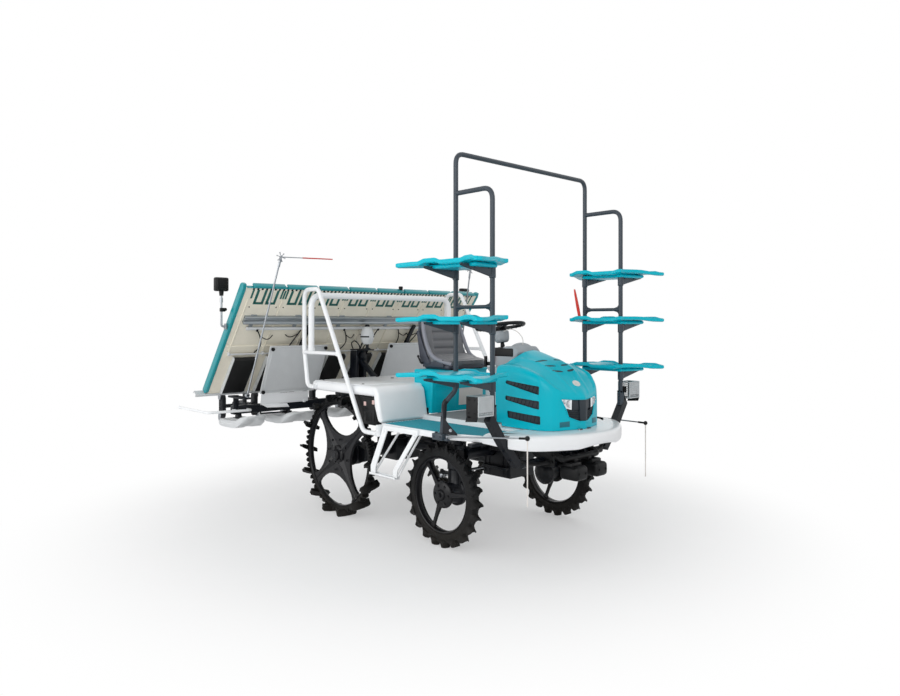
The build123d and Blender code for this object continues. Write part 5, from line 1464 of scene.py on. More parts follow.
class SeedlingPlatform(bpy.types.Operator):
    """Ivory lane board with its slots, teal frames, rail, belts and lamps"""
    bl_idname = "transplanter.platform"
    bl_label = "Seedling platform"

    def execute(self, context):
        board = Piece()
        board.block((0, -1245, 1), (1085, 1245, 12), 2, 1)
        for lane in LANES:
            board.block((176, lane - 140, 11.5), (318, lane + 140, 14), 2, 1)
            board.block((405, lane - 140, 11.5), (560, lane + 140, 13.5), 2, 1)
        for y in DIVIDERS:
            board.block((110, y - 5, 11), (690, y + 5, 19), 2, 1)
        board.block((575, -1240, 11), (590, 1240, 18), 2, 1)
        lay(board).done("lane_board", "platform_ivory", "ivory_board", "seedling_board",
                        body="seedling_platform")
        walls = Piece()
        for y in DIVIDERS:
            walls.block((62, y - 4, -54), (1084, y + 4, 1), 2.5, 2)
            for u in range(140, 1080, 130):
                walls.rod((u, y, -30), (u, y + 5.5, -30), 8, 5, 12)
        for lane in LANES:
            for k in range(-4, 5):
                walls.block((70, lane + 30 * k - 2, -3), (1080, lane + 30 * k + 2, 1.5), 1, 1)
        lay(walls).done("lane_walls", "platform_ivory", "ivory_board", "lane_dividers",
                        body="seedling_platform")
        slots = Piece()
        for lane in LANES:
            for middle_y in (lane - 53, lane + 53):
                for edge in (-33, 33):
                    slots.block((22, middle_y + edge - 11, 11.6), (150, middle_y + edge + 11, 13.4), 0.7, 1)
                slots.block((138, middle_y - 44, 11.6), (160, middle_y + 44, 13.4), 0.7, 1)
            for edge in (-128, 128):
                slots.block((22, lane + edge - 8, 11.6), (104, lane + edge + 8, 13.4), 0.7, 1)
        for y in DIVIDERS[1:-1]:
            slots.block((22, y - 8, 11.6), (104, y + 8, 13.4), 0.7, 1)
        lay(slots).done("lane_slots", "platform_ivory", "slot_print", body="seedling_platform")
        # flat black patches on the board's top edge, eight to a lane, where its openings are: painted shade
        # in the openings; then small black studs
        holes = Piece()
        hole = Piece()
        hole.block((2, -9, 11.4), (22, 9, 13), 0.6, 1)
        holes.repeat(hole, [Matrix.Translation((0, lane + 37.5 * k - 18.75, 0)) for lane in LANES
                            for k in range(-3, 5)])
        for lane in LANES:
            for y in (lane - 118, lane + 118):
                holes.rod((185, y, 12), (185, y, 17), 6, 5, 10)
        lay(holes).done("lane_hole_shade_and_studs", "black_moulding", "black_moulding", body="seedling_platform")
        frames = Piece()
        for lane in LANES:
            frames.block((-22, lane - 140, -21), (-2, lane + 140, 25), 7, 3)
            frames.block((-3, lane - 60, -9), (1, lane + 60, 14), 1, 1)
        frames.block((-1.5, -1244, -8), (3, 1244, 20), 1.5, 1)
        for side in (1, -1):
            low, high = sorted((1246 * side, 1275 * side))
            frames.slab(((-14, -30), (6, -45), (1080, -45), (1085, -38), (1085, 2), (1064, 15), (20, 15),
                         (-20, 0)), low, high - low, 6, 3)
            low, high = sorted((1273 * side, 1276.5 * side))
            frames.block((60, low, -34), (1040, high, 4), 3, 1)
            frames.circle_bolts((395, 1276 * side, -14), 30, 4, (0, side, 0), 6, 4)
        lay(frames).done("platform_sides", "platform_teal", "teal_enamel", "platform_frames",
                         body="seedling_platform")
        rail = Piece()
        profile = ((268, 12.5), (268, 40), (276, 42), (284, 34), (318, 34), (324, 42), (338, 42), (338, 30),
                   (332, 24), (332, 12.5))
        rail.slab(profile, -1180, 2360, 1.2, 1)
        rail.block((292, -1180, 33), (297, 1180, 37), 1, 1)
        for y in (-1100, -700, -260, 260, 700, 1100):
            rail.block((330, y - 16, 12.5), (400, y + 16, 26), 3, 1)
            rail.block((258, y - 26, 12.5), (270, y + 26, 22), 2, 1)
        lay(rail).done("slide_rail", "extruded_aluminium", "extruded_aluminium", "platform_rail",
                       body="seedling_platform")
        belts = Piece()
        rib = Piece()
        rib.block((-2.2, -93, 56.5), (2.2, 93, 59.5), 1, 1)
        places = [Matrix.Translation((712 + 9.6 * i, lane, 0)) for lane in LANES for i in range(35)]
        for lane in LANES:
            belts.slab(rounded([(875, 14), (690, 14), (690, 57), (1060, 57), (1060, 14), (875, 14)], 20,
                               4)[:-1], lane - 94, 188, 1.5, 1)
        belts.repeat(rib, places)
        lay(belts).done("feed_belt_runs", "belt_rubber", "belt_rubber", "feed_belts",
                        body="seedling_platform")
        edges = Piece()
        for lane in LANES:
            for side, low, high in strips(96, 101, lane):
                edges.slab(rounded([(875, 13), (680, 13), (684, 52), (1066, 52), (1070, 13), (875, 13)], 16,
                                   3)[:-1], low, high - low, 1, 1)
                for u in (706, 1044):
                    edges.rod((u, lane + 90 * side, 35), (u, lane + 106 * side, 35), 9, 7, 14)
            edges.rod((1072, lane - 120, 34), (1072, lane + 120, 34), 5, sides=10)
        edges.rod((650, -1200, 30), (650, 1200, 30), 7, sides=12)
        edges.rod((388, -1130, 28), (388, 1130, 28), 14, sides=20)
        for y in DIVIDERS:
            edges.block((636, y - 9, 11), (664, y + 9, 38), 3, 1)
        lay(edges).done("belt_frames", "platform_ivory", "pale_moulding", body="seedling_platform")
        lamp = Piece()
        lamp.block((-1783, 1270, 1747), (-1735, 1380, 1855), 12, 3)
        lamp.block((-1738, 1278, 1755), (-1727, 1372, 1847), 6)
        for i in range(6):
            lamp.block((-1728, 1284, 1762 + 14 * i), (-1724.5, 1366, 1769 + 14 * i), 1.5, 1)
        lamp.rod((-1755, 1325, 1712), (-1755, 1325, 1750), 15, 19)
        lamp.block((-1768, 1296, 1588), (-1742, 1336, 1618), 5)
        lamp.ball((-1755, 1292, 1606), 13)
        lamp.both_sides()
        # one round cap stands on the board's upper edge
        lamp.block((-1507, 250, 1795), (-1489, 288, 1803), 2)
        lamp.rod((-1498, 269, 1802), (-1498, 269, 1824), 17, 20, 20)
        lamp.rod((-1498, 269, 1824), (-1498, 269, 1830), 20, 16, 20)
        lamp.done("lamp_housings", "black_moulding", "black_moulding", "rear_lamps", body="seedling_platform")
        red = Piece()
        red.block((-1787, 1280, 1757), (-1780, 1370, 1845), 3, 2)
        red.both_sides().done("lamp_lenses_red", "black_moulding", "lamp_red",
                              body="seedling_platform", smooth=30)
        stalk = Piece()
        stalk.tube([(-1755, 1290, 1472), (-1755, 1325, 1474), (-1755, 1325, 1716)], 8.5, 18)
        stalk.block((-1772, 1288, 1448), (-1738, 1298, 1496), 4)
        stalk.rod((-1755, 1325, 1660), (-1755, 1325, 1694), 12)
        stalk.both_sides().done("lamp_stalks", "marker_steel", "bright_steel", body="seedling_platform")
        wires = Piece()
        # the loops that the cross beam's uprights pass over as the platform slides lie flatter
        for y, lean, rise in ((-1010, 30, 1), (-640, -24, 0.42), (-170, 26, 1), (150, -30, 1),
                              (450, 26, 0.42), (690, -28, 0.42), (980, 22, 1)):
            long, branch = ([(u, y + lean * k, 14 + h * rise) for u, k, h in run] for run in (
                ((392, -1, 22), (440, 0, 44), (510, 1, 52), (580, 1.4, 32), (640, 1, 12)),
                ((440, 0, 44), (470, 2, 50), (476, 3.4, 36), (462, 4.6, 10))))
            wires.tube(smooth_line(long, 5), 5)
            wires.tube(smooth_line(branch, 5), 4)
            wires.rod((386, y - lean, 14 + 28 * rise), (404, y - lean, 14 + 28 * rise), 9)
        lay(wires).done("feed_levers", "black_moulding", "black_moulding", body="seedling_platform")
        return {"FINISHED"}


# --- planting unit ----------------------------------------------------------------------------
# where the planting cases stand, and the rotors' axle
CASES = (-900, -300, 300, 900)
ROTOR_X, ROTOR_Z = -2300, 785


class PlantingFrame(bpy.types.Operator):
    """Cross beam, planting cases, splash panels, guards and floats"""
    bl_idname = "transplanter.planting_frame"
    bl_label = "Planting frame"

    def execute(self, context):
        beam = Piece()
        beam.block((-2024, -1118, 751), (-1956, 1118, 819), 8, 3)
        for y in (-1104, -900, -600, -300, 300, 600, 900, 1104):
            beam.block((-2025, y - 9, 748), (-1953, y + 9, 822), 4)
            beam.bolts([(-1953, y, 770), (-1953, y, 800)], (1, 0, 0), 8, 6)
        beam.block((-1988, -46, 800), (-1902, 46, 930), 10, 3)
        beam.turned([(25.6, -45), (44, -45), (48, -40), (48, 40), (44, 45), (25.6, 45), (25.6, -45)],
                    (-1945, 0, 960), "X", 40)
        beam.circle_bolts((-1901, 0, 960), 74, 6, (1, 0, 0), 6, 5)
        for side in (1, -1):
            y = 580 * side
            low, high = Vector((-1967, y - 19, 842)), Vector((-1756, y - 19, 1350))
            back = Vector((low.z - high.z, 0, high.x - low.x)).normalized()
            a, b = low + back * 2, high + back * 2
            beam.prism([a, b, b + back * 26, a + back * 26], (0, 38, 0), 5)
            foot, head = (PLATFORM @ Vector((u, y, 53)) for u in (340, 558))
            away, edge = PLATFORM.to_3x3() @ Vector((0, 0, 9)), Vector((0, -19, 0))
            beam.prism([foot - away + edge, head - away + edge, head + away + edge, foot + away + edge],
                       (0, 38, 0), 3)
            beam.block((-1958, 1104 * side - 23, 790), (-1941, 1104 * side + 23, 910), 5)
            beam.block((-1958, 1140 * side - 32, 895), (-1687, 1140 * side + 32, 911), 4)
            beam.block((-1702, 1150 * side - 15, 905), (-1687, 1150 * side + 15, 944), 4)
            beam.rod((-1696, 1150 * side, 930), (-1660, 1150 * side, 930), 4.9)
            beam.bolts([(-1663, 1150 * side, 930)], (1, 0, 0), 8, 5)
            beam.tube([(-1990, 860 * side, 752), (-1990, 860 * side, 734), (-1990, 560 * side, 730)], 7, 12)
        beam.done("cross_beam", "chassis_paint", "chassis_enamel", "planting_beam", body="planting_frame")
        cases = Piece()
        for y in CASES:
            cases.block((ROTOR_X, y - 43, 748), (-2026, y + 43, 818), 10, 3)
            cases.turned([(17.3, -47), (34, -47), (40, -40), (40, 40), (34, 47), (17.3, 47)],
                         (ROTOR_X, y, ROTOR_Z), "Y", 36)
            for side, low, high in strips(42, 46, y):
                cases.circle_bolts((ROTOR_X, y + side * 44, ROTOR_Z), 58, 6, (0, side, 0), 5, 5)
                cases.block((-2230, low, 760), (-2060, high, 806), 3)
            cases.block((-2211, y - 11, 810), (-2169, y + 11, 903), 5)
            cases.bolts([(x, y + dy, 818) for dy in (25, -25) for x in (-2250, -2130, -2050)],
                        (0, 0, 1), 6, 5)
            cases.rod((-2040, y, 783), (-2024, y, 783), 46, 50, 28)
        cases.done("planting_gear_cases", "chassis_paint", "cast_iron", body="planting_frame")
        guide = Piece()
        guide.slab(((1086, -38), (1086, 18), (1108, 18), (1108, 10), (1094, 4), (1094, -26), (1108, -32),
                    (1108, -38)), -1350, 2700, 2, 1)
        for y in range(-1275, 1300, 150):
            guide.block((1096, y - 30, -26), (1112, y + 30, 6), 2, 1)
        lay(guide).done("lower_guide", "chassis_paint", "pale_moulding", "planting_cases",
                        body="planting_frame")
        panel = Piece()
        along = Vector((180, 0, 405)).normalized()
        back = Vector((-along.z, 0, along.x))
        foot = Vector((-1930, 0, 905))
        y0, y1 = 340, 900
        corners = [foot + Vector((0, y, 0)) + along * h for y, h in ((y0, 0), (y1, 0), (y1, 442), (y0, 442))]
        panel.prism(corners, back * 10, 6, 3)
        panel.prism([foot + Vector((0, y, 0)) + along * h - back * 2.5 for y, h in
                     ((y0 + 26, 30), (y1 - 26, 30), (y1 - 26, 414), (y0 + 26, 414))], back * 4, 2, 1)
        for h in (2, 430):
            panel.prism([foot + Vector((0, y, 0)) + along * rise - back * 5 for y, rise in
                         ((y0 + 6, h), (y1 - 6, h), (y1 - 6, h + 9), (y0 + 6, h + 9))], back * 8, 2, 1)
        panel.both_sides().done("splash_boards", "light_grey_abs", "pale_moulding", "splash_panels",
                                body="planting_frame", smooth=30)
        lower = Piece()
        lower.prism([(-1948, 420, 812), (-1934, 420, 903), (-1934, 884, 903), (-1948, 884, 812)],
                    (-4, 0, 0), 2, 1)
        lower.prism([(-1930, 640, 812), (-1930, 884, 820), (-1860, 870, 800), (-1860, 660, 790)],
                    (0, 0, -4), 1, 1)
        for y in (460, 850):
            lower.block((-1956, y - 12, 806), (-1936, y + 12, 826), 3)
        lower.both_sides().done("lower_splash_skirts", "light_grey_abs", "white_abs", body="planting_frame")
        knobs = Piece()
        for y, h in ((364, 20), (876, 20), (364, 418), (876, 418)):
            at = foot + Vector((0, y, 0)) + along * h
            knobs.rod(at, at - back * 12, 13, 11, 16)
            knobs.rod(at - back * 10, at - back * 18, 16, 14, 16)
        knobs.both_sides().done("splash_knobs", "black_moulding", "black_moulding", body="planting_frame")
        guard = Piece()
        guard.tube([(-1955, 1000, 785), (-1875, 1000, 785), (-1935, 1350, 785), (-2470, 1350, 785)],
                   11, 40, 6)
        guard.rod((-1935, 1118, 785), (-1965, 1118, 785), 12)
        guard.rod((-2466, 1350, 785), (-2478, 1350, 785), 13)
        guard.both_sides().done("guard_bars", "extruded_aluminium", "white_enamel", "side_guards",
                                body="planting_frame")
        floats = Piece()
        skin = ((-1702, 739, 757, 0.62), (-1722, 716, 756, 0.82), (-1760, 692, 747, 0.95),
                (-1826, 658, 716, 1), (-1900, 652, 711, 1), (-2076, 652, 710, 0.98), (-2112, 656, 709, 0.94),
                (-2120, 662, 704, 0.9))
        for y, half, tail in ((0, 200, 92), (600, 170, 92), (-600, 170, 92), (1060, 120, 0), (-1060, 120, 0)):
            rings = []
            for x, low, high, share in skin:
                h, d = half * share, (high - low) * 0.35
                rings.append([(x, y + a * h, z)
                              for a, z in ((-1, low + d), (-0.93, low), (-0.3, low), (-0.25, low + 6),
                                           (0.25, low + 6), (0.3, low), (0.93, low), (1, low + d),
                                           (1, high - d), (0.9, high), (-0.9, high), (-1, high - d))])
            floats.loft(rings)
            floats.prism([(-1840, y - half * 0.6, 710), (-1840, y + half * 0.6, 710),
                          (-2080, y + half * 0.6, 709), (-2080, y - half * 0.6, 709)], (0, 0, 5), 3, 1)
            if tail:
                rings = [[(x, y + a * tail * share, z)
                          for a, z in ((-1, 664), (-0.85, 659), (0.85, 659), (1, 664), (1, 684), (0.85, 690),
                                       (-0.85, 690), (-1, 684))]
                         for x, share in ((-2110, 1), (-2350, 1), (-2388, 0.9), (-2400, 0.7))]
                floats.loft(rings)
        floats.done("hollow_floats", "light_grey_abs", "pale_moulding", "floats",
                    body="planting_frame", smooth=50)
        feet = Piece()
        for y in (0, 600, -600, 1060, -1060):
            feet.slab(((-2010, 750), (-1972, 750), (-1960, 716), (-2022, 716)), y - 18, 36, 3)
            feet.block((-2036, y - 30, 709), (-1946, y + 30, 719), 3)
            feet.bolts([(-2028, y, 719), (-1954, y, 719)], (0, 0, 1), 7, 5)
        feet.done("float_feet", "chassis_paint", "chassis_enamel", body="planting_frame")
        return {"FINISHED"}


class PlantingRotors(bpy.types.Operator):
    """Rotary planting arms with their claws"""
    bl_idname = "transplanter.rotors"
    bl_label = "Planting rotors"

    def execute(self, context):
        rotors = Piece()
        for y in CASES:
            rotors.rod((ROTOR_X, y - 150, ROTOR_Z), (ROTOR_X, y + 150, ROTOR_Z), 16.5, sides=24)
            for side, low, high in strips(131, 169, y):
                outline = smooth_line([(ROTOR_X + dx, low, ROTOR_Z + dz)
                                       for dx, dz in ((-32, 0), (-33, 66), (-20, 96), (0, 103), (20, 96),
                                                      (33, 66), (32, 0), (33, -66), (20, -96), (0, -103),
                                                      (-20, -96), (-33, -66))], 2, closed=True)
                rotors.prism(outline, (0, high - low, 0), 5, 2)
                rotors.circle_bolts((ROTOR_X, y + 169 * side, ROTOR_Z), 40, 5, (0, side, 0), 5, 4)
                for end in (1, -1):
                    rotors.rod((ROTOR_X, y + 169 * side, ROTOR_Z + 72 * end),
                               (ROTOR_X, y + 176 * side, ROTOR_Z + 72 * end), 20)
        rotors.done("rotor_boxes", "chassis_paint", "cast_iron", "planting_rotors", body="rotor_line")
        claws = Piece()
        for y in CASES:
            for side, low, high in strips(170, 181, y):
                for end in (1, -1):
                    outline = [(ROTOR_X + dx * end, low, ROTOR_Z + dz * end) for dx, dz in
                               ((-18, 60), (-24, 84), (-20, 112), (-8, 128), (-13, 150), (-6, 150), (2, 128),
                                (16, 108), (20, 84), (14, 60))]
                    claws.prism(outline, (0, high - low, 0), 2, 1)
                    for pin in (-7, 7):
                        claws.rod((ROTOR_X - 10 * end, y + 176 * side + pin, ROTOR_Z + 126 * end),
                                  (ROTOR_X - 12 * end, y + 176 * side + pin, ROTOR_Z + 149 * end),
                                  2.5, 1.5, 8)
        claws.done("planting_claws", "chassis_paint", "bright_steel", body="rotor_line")
        return {"FINISHED"}


# --- lift links -------------------------------------------------------------------------------
# pivots as (x, z): on the chassis, on the lift piston's crank, then the hitch's lower and upper pins
LOWER_PIVOT, UPPER_PIVOT, PISTON_PIN = (-1250, 600), (-1240, 820), (-1194.7, 717.7)
HITCH_PINS = (-1757.9, 955.6), (-1747.9, 1175.6)
NECK_X = -1640


def link(piece, start, end, half_height, y0, y1, bevel=5.0):
    """A flat bar with round ends between two pivots given as (x, z)."""
    a, b = Vector((start[0], y0, start[1])), Vector((end[0], y0, end[1]))
    along = (b - a).normalized()
    side = Vector((0, 1, 0)).cross(along)
    outline = [a + (side * cos(t) - along * sin(t)) * half_height for t in (pi * i / 10 for i in range(11))]
    outline += [b + (along * sin(t) - side * cos(t)) * half_height for t in (pi * i / 10 for i in range(11))]
    piece.prism(outline, (0, y1 - y0, 0), bevel, 2)


class LiftLinks(bpy.types.Operator):
    """Lower arms, upper link and the hitch with its capped neck"""
    bl_idname = "transplanter.links"
    bl_label = "Lift links"

    def execute(self, context):
        low, high = HITCH_PINS
        arms = Piece()
        pivot_x, pivot_z = LOWER_PIVOT
        for side, y0, y1 in strips(67, 91):
            link(arms, LOWER_PIVOT, low, 29, y0, y1)
            arms.turned([(9, -19), (34, -19), (36, 0), (34, 19), (9, 19)],
                        (pivot_x, 79 * side, pivot_z), "Y", 32)
            y0, y1 = sorted((24.5 * side, 37.5 * side))
            link(arms, LOWER_PIVOT, PISTON_PIN, 23, y0, y1, 3)
        arms.rod((pivot_x, -91, pivot_z), (pivot_x, 91, pivot_z), 27, sides=32)
        arms.rod((pivot_x, -139, pivot_z), (pivot_x, 139, pivot_z), 11.5, sides=24)
        arms.rod((PISTON_PIN[0], -38, PISTON_PIN[1]), (PISTON_PIN[0], 38, PISTON_PIN[1]), 8)
        arms.block((-1520, -66, 768), (-1490, 66, 794), 5, 2, Matrix.Rotation(radians(35), 4, "Y"))
        arms.done("lower_arms", "chassis_paint", "chassis_enamel", "lower_links", body="lift_arms")
        top = Piece()
        link(top, UPPER_PIVOT, high, 21, -19, 19)
        for half_width, radius, sides in ((139, 11.5, 24), (44, 24, 28)):
            top.rod((UPPER_PIVOT[0], -half_width, UPPER_PIVOT[1]),
                    (UPPER_PIVOT[0], half_width, UPPER_PIVOT[1]), radius, sides=sides)
        top.done("top_bar", "chassis_paint", "chassis_enamel", "upper_link", body="top_link")
        hitch = Piece()
        for side, y0, y1 in strips(28, 58):
            hitch.slab(((-1734, 924), (-1730, 960), (-1722, 1176), (-1728, 1252), (-1820, 1252),
                        (-1826, 1090), (-1816, 924)), y0, y1 - y0, 6, 3)
            hitch.rod((low[0], 56 * side, low[1]), (low[0], 97 * side, low[1]), 11.5, sides=24)
            hitch.bolts([(low[0], 96 * side, low[1])], (0, side, 0), 14, 8)
            hitch.bolts([(high[0], 58 * side, high[1])], (0, side, 0), 14, 7)
            hitch.slab(((-1728, 1200), (-1680, 1254), (-1728, 1254)), 44 * side - 5, 10, 2, 1)
        hitch.rod((high[0], -60, high[1]), (high[0], 60, high[1]), 11.5, sides=24)
        hitch.block((-1810, -28, 924), (-1794, 28, 1130), 4)
        hitch.rod((-1798, 0, 960), (-1939, 0, 960), 24.8, sides=32)
        hitch.block((-1822, -59, 1255), (-1612, 59, 1267), 4)
        hitch.turned([(0, 1262), (30, 1262), (30, 1272), (16, 1280), (13, 1300), (16, 1318), (0, 1318)],
                     (NECK_X, 0, 0), "Z", 28)
        for i in range(4):
            hitch.rod((-1690 - 26 * i, 54, 1267), (-1690 - 26 * i, 54, 1273), 6, sides=6)
        hitch.block((-1768, -24, 1180), (-1690, 24, 1250), 10)
        hitch.tube(smooth_line([(-1800, 40, 1266), (-1790, 62, 1330), (-1740, 60, 1372), (-1690, 44, 1340),
                                (-1672, 34, 1290), (-1700, 26, 1267)], 6), 6)
        hitch.tube(smooth_line([(-1800, -40, 1266), (-1786, -66, 1316), (-1730, -70, 1340),
                                (-1690, -52, 1300), (-1700, -40, 1266)], 6), 5)
        hitch.done("hitch_frame", "chassis_paint", "chassis_enamel", "hitch", body="hitch_bracket")
        cap = Piece()
        cap.turned([(0, 1311), (36, 1311), (42, 1320), (54, 1342), (60, 1374), (58, 1404), (50, 1432),
                    (38, 1454), (22, 1467), (0, 1470)], (NECK_X, 0, 0), "Z", 48)
        cap.block((-1588, -22, 1352), (-1578, 22, 1410), 4)
        cap.done("hitch_egg_cap", "light_grey_abs", "pale_moulding", "hitch_cap",
                 body="hitch_bracket", smooth=50)
        crown = Piece()
        crown.turned([(0, 1464), (20, 1466), (24, 1474), (18, 1484), (0, 1488)], (NECK_X, 0, 0), "Z", 32)
        crown.turned([(61, 1372), (62, 1374), (62, 1382), (60, 1384)], (NECK_X, 0, 0), "Z", 48)
        crown.done("hitch_cap_band", "light_grey_abs", "black_moulding", body="hitch_bracket")
        return {"FINISHED"}


# --- markers ----------------------------------------------------------------------------------
class Markers(bpy.types.Operator):
    """Folding line markers and the sighting rods at the front"""
    bl_idname = "transplanter.markers"
    bl_label = "Markers"

    def execute(self, context):
        tip = Vector((-1370, 1027, 2007))
        foot = Vector((-1672, 1150, 930))
        for name, side in SIDES:
            arm = Piece()
            line = (tip - foot).normalized()
            arm.rod(foot + line * 12, tip - line * 10, 6.8)
            arm.rod(foot + line * 300, foot + line * 340, 9.5)
            arm.rod(foot + line * 640, foot + line * 664, 9)
            arm.turned([(5.4, -14), (16, -14), (18, -10), (18, 10), (16, 14), (5.4, 14), (5.4, -14)],
                       foot, "X", 28)
            arm.rod(tip - line * 80, tip + line * 14, 10, 9)
            for turn in range(6):
                angle = pi * turn / 3 + 0.3
                out = Vector((0, cos(angle), sin(angle)))
                around_tip, rear = out.cross(Vector((1, 0, 0))), Vector((-3, 0, 0))
                arm.prism([tip + out * 9 + rear, tip + out * 38 + around_tip * 6 + rear,
                           tip + out * 39 - around_tip * 3 + rear], (6, 0, 0))
            arm.rod(tip - Vector((8, 0, 0)), tip + Vector((8, 0, 0)), 11)
            end = tip + Vector((-190, -600, 30))
            arm.rod(tip, tip.lerp(end, 0.42), 4.5, 4)
            on_side(side, arm).done(f"marker_arm_{name}", "marker_steel", "bright_steel",
                                    f"line_marker_{name}", body=f"{name}_marker")
            flag = Piece()
            flag.rod(tip.lerp(end, 0.4), end, 5.5, 5)
            on_side(side, flag).done(f"marker_pointer_{name}", "marker_steel", "signal_red",
                                     body=f"{name}_marker")
        for name, side, ball in (("left", 1, Vector((712, 750, 772))),
                                 ("right", -1, Vector((870, 750, 840)))):
            pivot = Vector((206, 758, 775))
            rod = Piece()
            rod.rod(pivot, ball, 5.6, 4.6)
            rod.turned([(3.2, -8), (6.8, -8), (7, 8), (3.2, 8), (3.2, -8)], pivot, "Z", 24)
            on_side(side, rod).done(f"sighting_rod_{name}", "marker_steel", "bright_steel",
                                    f"sight_rod_{name}", body=f"{name}_sight")
            knob = Piece()
            knob.ball(ball, 15)
            line = (ball - pivot).normalized()
            knob.rod(ball - line * 60, ball - line * 10, 7)
            on_side(side, knob).done(f"sighting_knob_{name}", "marker_steel", "black_moulding",
                                     body=f"{name}_sight")
            drop = Piece()
            for top, low, radius, tip_radius in ((12, 390, 4, 3.4), (368, 389, 4.4, 4.4)):
                drop.rod(ball - Vector((0, 0, top)), ball - Vector((0, 0, low)), radius, tip_radius, 12)
            on_side(side, drop).done(f"sighting_drop_{name}", "marker_steel", "blank_plate",
                                     body=f"{name}_sight")
        return {"FINISHED"}


# --- stage ------------------------------------------------------------------------------------
# soft lamps: name, place and aim in metres, width and height in metres, watts
LAMPS = (("key", (6.0, -6.5, 4.6), (0.5, 0, 0.9), (5, 4), 165),
         ("fill", (-1.5, -8.0, 2.4), (-0.5, 0, 0.9), (6, 3), 148),
         ("back", (-6.0, 5.0, 5.5), (-0.5, 0, 1.0), (6, 4), 50))
# half the floor's width, where its white fade starts and ends, and the share of the sky's light
FLOOR_HALF, FADE_START, FADE_END, SKY_SHARE = 45, 1.5, 3.2, 0.65
# the camera's place from the front axle, the level line it looks along, its shift and sensor width
CAMERA_PLACE, CAMERA_VIEW, CAMERA_SHIFT, SENSOR_MM = (3.585, -3.925, 1.5), (-0.7266, 0.687, 0), -0.0278, 36


def area_light(name, place, target, size, power):
    """A soft rectangular lamp aimed at a point, in metres."""
    lamp = bpy.data.lights.new(name, "AREA")
    lamp.shape, lamp.size, lamp.size_y, lamp.energy = "RECTANGLE", size[0], size[1], power
    holder = bpy.data.objects.new(name, lamp)
    holder.location = place
    holder.rotation_euler = (Vector(target) - Vector(place)).to_track_quat("-Z", "Y").to_euler()
    bpy.context.scene.collection.objects.link(holder)


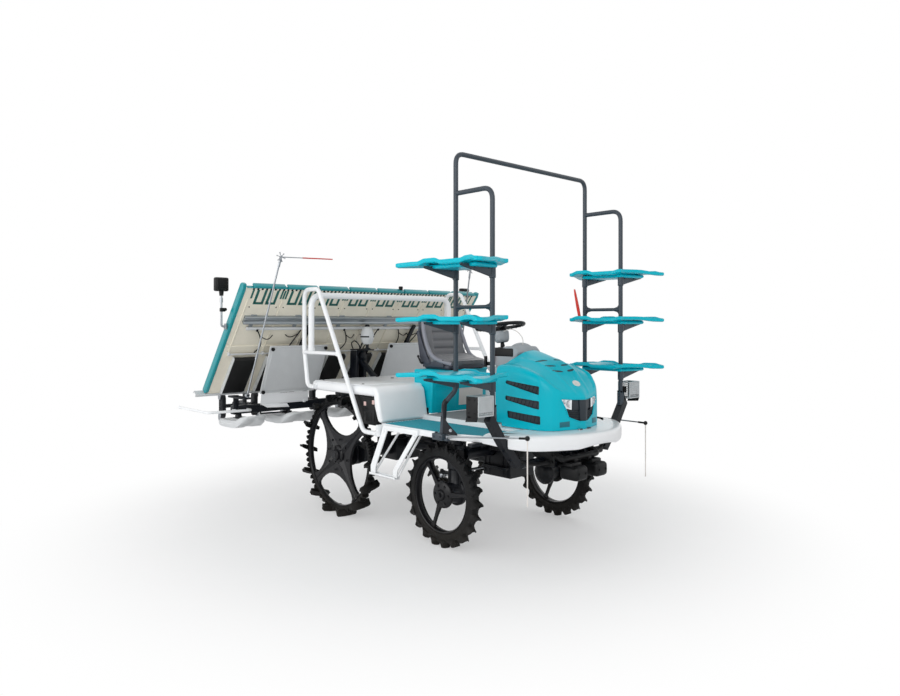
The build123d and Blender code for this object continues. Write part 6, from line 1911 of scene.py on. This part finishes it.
class Stage(bpy.types.Operator):
    """Pale floor, soft studio light and the camera"""
    bl_idname = "transplanter.stage"
    bl_label = "Stage"

    def execute(self, context):
        scene = context.scene
        scene.view_settings.view_transform = "Standard"
        floor = bmesh.new()
        bmesh.ops.create_grid(floor, x_segments=2, y_segments=2, size=FLOOR_HALF)
        mesh = bpy.data.meshes.new("studio_floor")
        floor.to_mesh(mesh)
        floor.free()
        ground = bpy.data.objects.new("studio_floor", mesh)
        scene.collection.objects.link(ground)
        paper = bpy.data.materials.new("studio_paper")
        paper.use_nodes = True
        tree = paper.node_tree
        shader = next(n for n in tree.nodes if n.type == "BSDF_PRINCIPLED")
        output = next(n for n in tree.nodes if n.type == "OUTPUT_MATERIAL")
        coords = add(tree, "ShaderNodeTexCoord").outputs["Object"]
        fibre = add(tree, "ShaderNodeTexNoise", {"Vector": coords, "Scale": 3.0}).outputs["Fac"]
        tree.links.new(mixed(tree, fibre, (0.9, 0.905, 0.91, 1), (0.94, 0.94, 0.945, 1)),
                       shader.inputs["Base Color"])
        shader.inputs["Roughness"].default_value = 0.85
        away = add(tree, "ShaderNodeVectorMath", {0: coords}, operation="LENGTH").outputs["Value"]
        fade = add(tree, "ShaderNodeMapRange", {"Value": away, "From Min": FADE_START, "From Max": FADE_END},
                   interpolation_type="SMOOTHSTEP").outputs["Result"]
        seen = add(tree, "ShaderNodeLightPath").outputs["Is Camera Ray"]
        spread = add(tree, "ShaderNodeMapRange", {"Value": fade, "To Min": 0.35}).outputs["Result"]
        share = add(tree, "ShaderNodeMath", {0: spread, 1: seen}, operation="MULTIPLY").outputs[0]
        glow = add(tree, "ShaderNodeEmission", {"Color": (1, 1, 1, 1), "Strength": 1.0}).outputs[0]
        blend = add(tree, "ShaderNodeMixShader", {0: share, 1: shader.outputs[0], 2: glow})
        tree.links.new(blend.outputs[0], output.inputs["Surface"])
        mesh.materials.append(paper)
        world = bpy.data.worlds.new("studio_world")
        world.use_nodes = True
        tree = world.node_tree
        sky = next(n for n in tree.nodes if n.type == "BACKGROUND")
        path = add(tree, "ShaderNodeLightPath")
        direct = add(tree, "ShaderNodeMath", {0: path.outputs["Is Camera Ray"],
                                              1: path.outputs["Is Glossy Ray"]},
                     operation="MAXIMUM").outputs[0]
        level = add(tree, "ShaderNodeMapRange", {"Value": direct, "To Min": SKY_SHARE,
                                                 "To Max": 1.0}).outputs["Result"]
        tree.links.new(level, sky.inputs["Strength"])
        sky.inputs["Color"].default_value = (1, 1, 1, 1)
        scene.world = world
        for lamp in LAMPS:
            area_light(*lamp)
        lens = bpy.data.cameras.new("studio_camera")
        lens.lens = scene.transplanter_sizes.lens_length
        lens.sensor_width = SENSOR_MM
        lens.shift_y = CAMERA_SHIFT
        lens.clip_end = 200
        camera = bpy.data.objects.new("studio_camera", lens)
        camera.location = (AXLE_X + CAMERA_PLACE[0], *CAMERA_PLACE[1:])
        camera.rotation_euler = Vector(CAMERA_VIEW).to_track_quat("-Z", "Y").to_euler()
        scene.collection.objects.link(camera)
        scene.camera = camera
        return {"FINISHED"}


PIECES = (FrontWheels, RearWheels, AxlesAndSteering, ChassisDetails, FloorAndSteps, NoseSkirt, RearDeck,
          SeatBoxAndDash, SteeringWheel, Seat, Hood, RackFrame, RackShelves, RackBaskets, RailsAndLadders,
          SeedlingPlatform, PlantingFrame, PlantingRotors, LiftLinks, Markers, Stage)


class TransplanterPanel(bpy.types.Panel):
    """Sizes, colours and a button for each group of pieces"""
    bl_idname = "VIEW3D_PT_transplanter"
    bl_label = "Rice Transplanter"
    bl_space_type = "VIEW_3D"
    bl_region_type = "UI"
    bl_category = "Transplanter"

    def draw(self, context):
        for group in (context.scene.transplanter_sizes, context.scene.transplanter_colours):
            for name in group.__annotations__:
                self.layout.prop(group, name)
        for piece in PIECES:
            self.layout.operator(piece.bl_idname)


def register():
    for group in (TransplanterSizes, TransplanterColours, *PIECES, TransplanterPanel):
        bpy.utils.register_class(group)
    bpy.types.Scene.transplanter_sizes = PointerProperty(type=TransplanterSizes)
    bpy.types.Scene.transplanter_colours = PointerProperty(type=TransplanterColours)


def unregister():
    del bpy.types.Scene.transplanter_colours
    del bpy.types.Scene.transplanter_sizes
    for group in (TransplanterPanel, *reversed(PIECES), TransplanterColours, TransplanterSizes):
        bpy.utils.unregister_class(group)


def main():
    """Build everything."""
    register()
    make_finishes(bpy.context.scene.transplanter_colours)
    for piece in PIECES:
        group, name = piece.bl_idname.split(".")
        getattr(getattr(bpy.ops, group), name)()


if __name__ == "__main__":
    main()
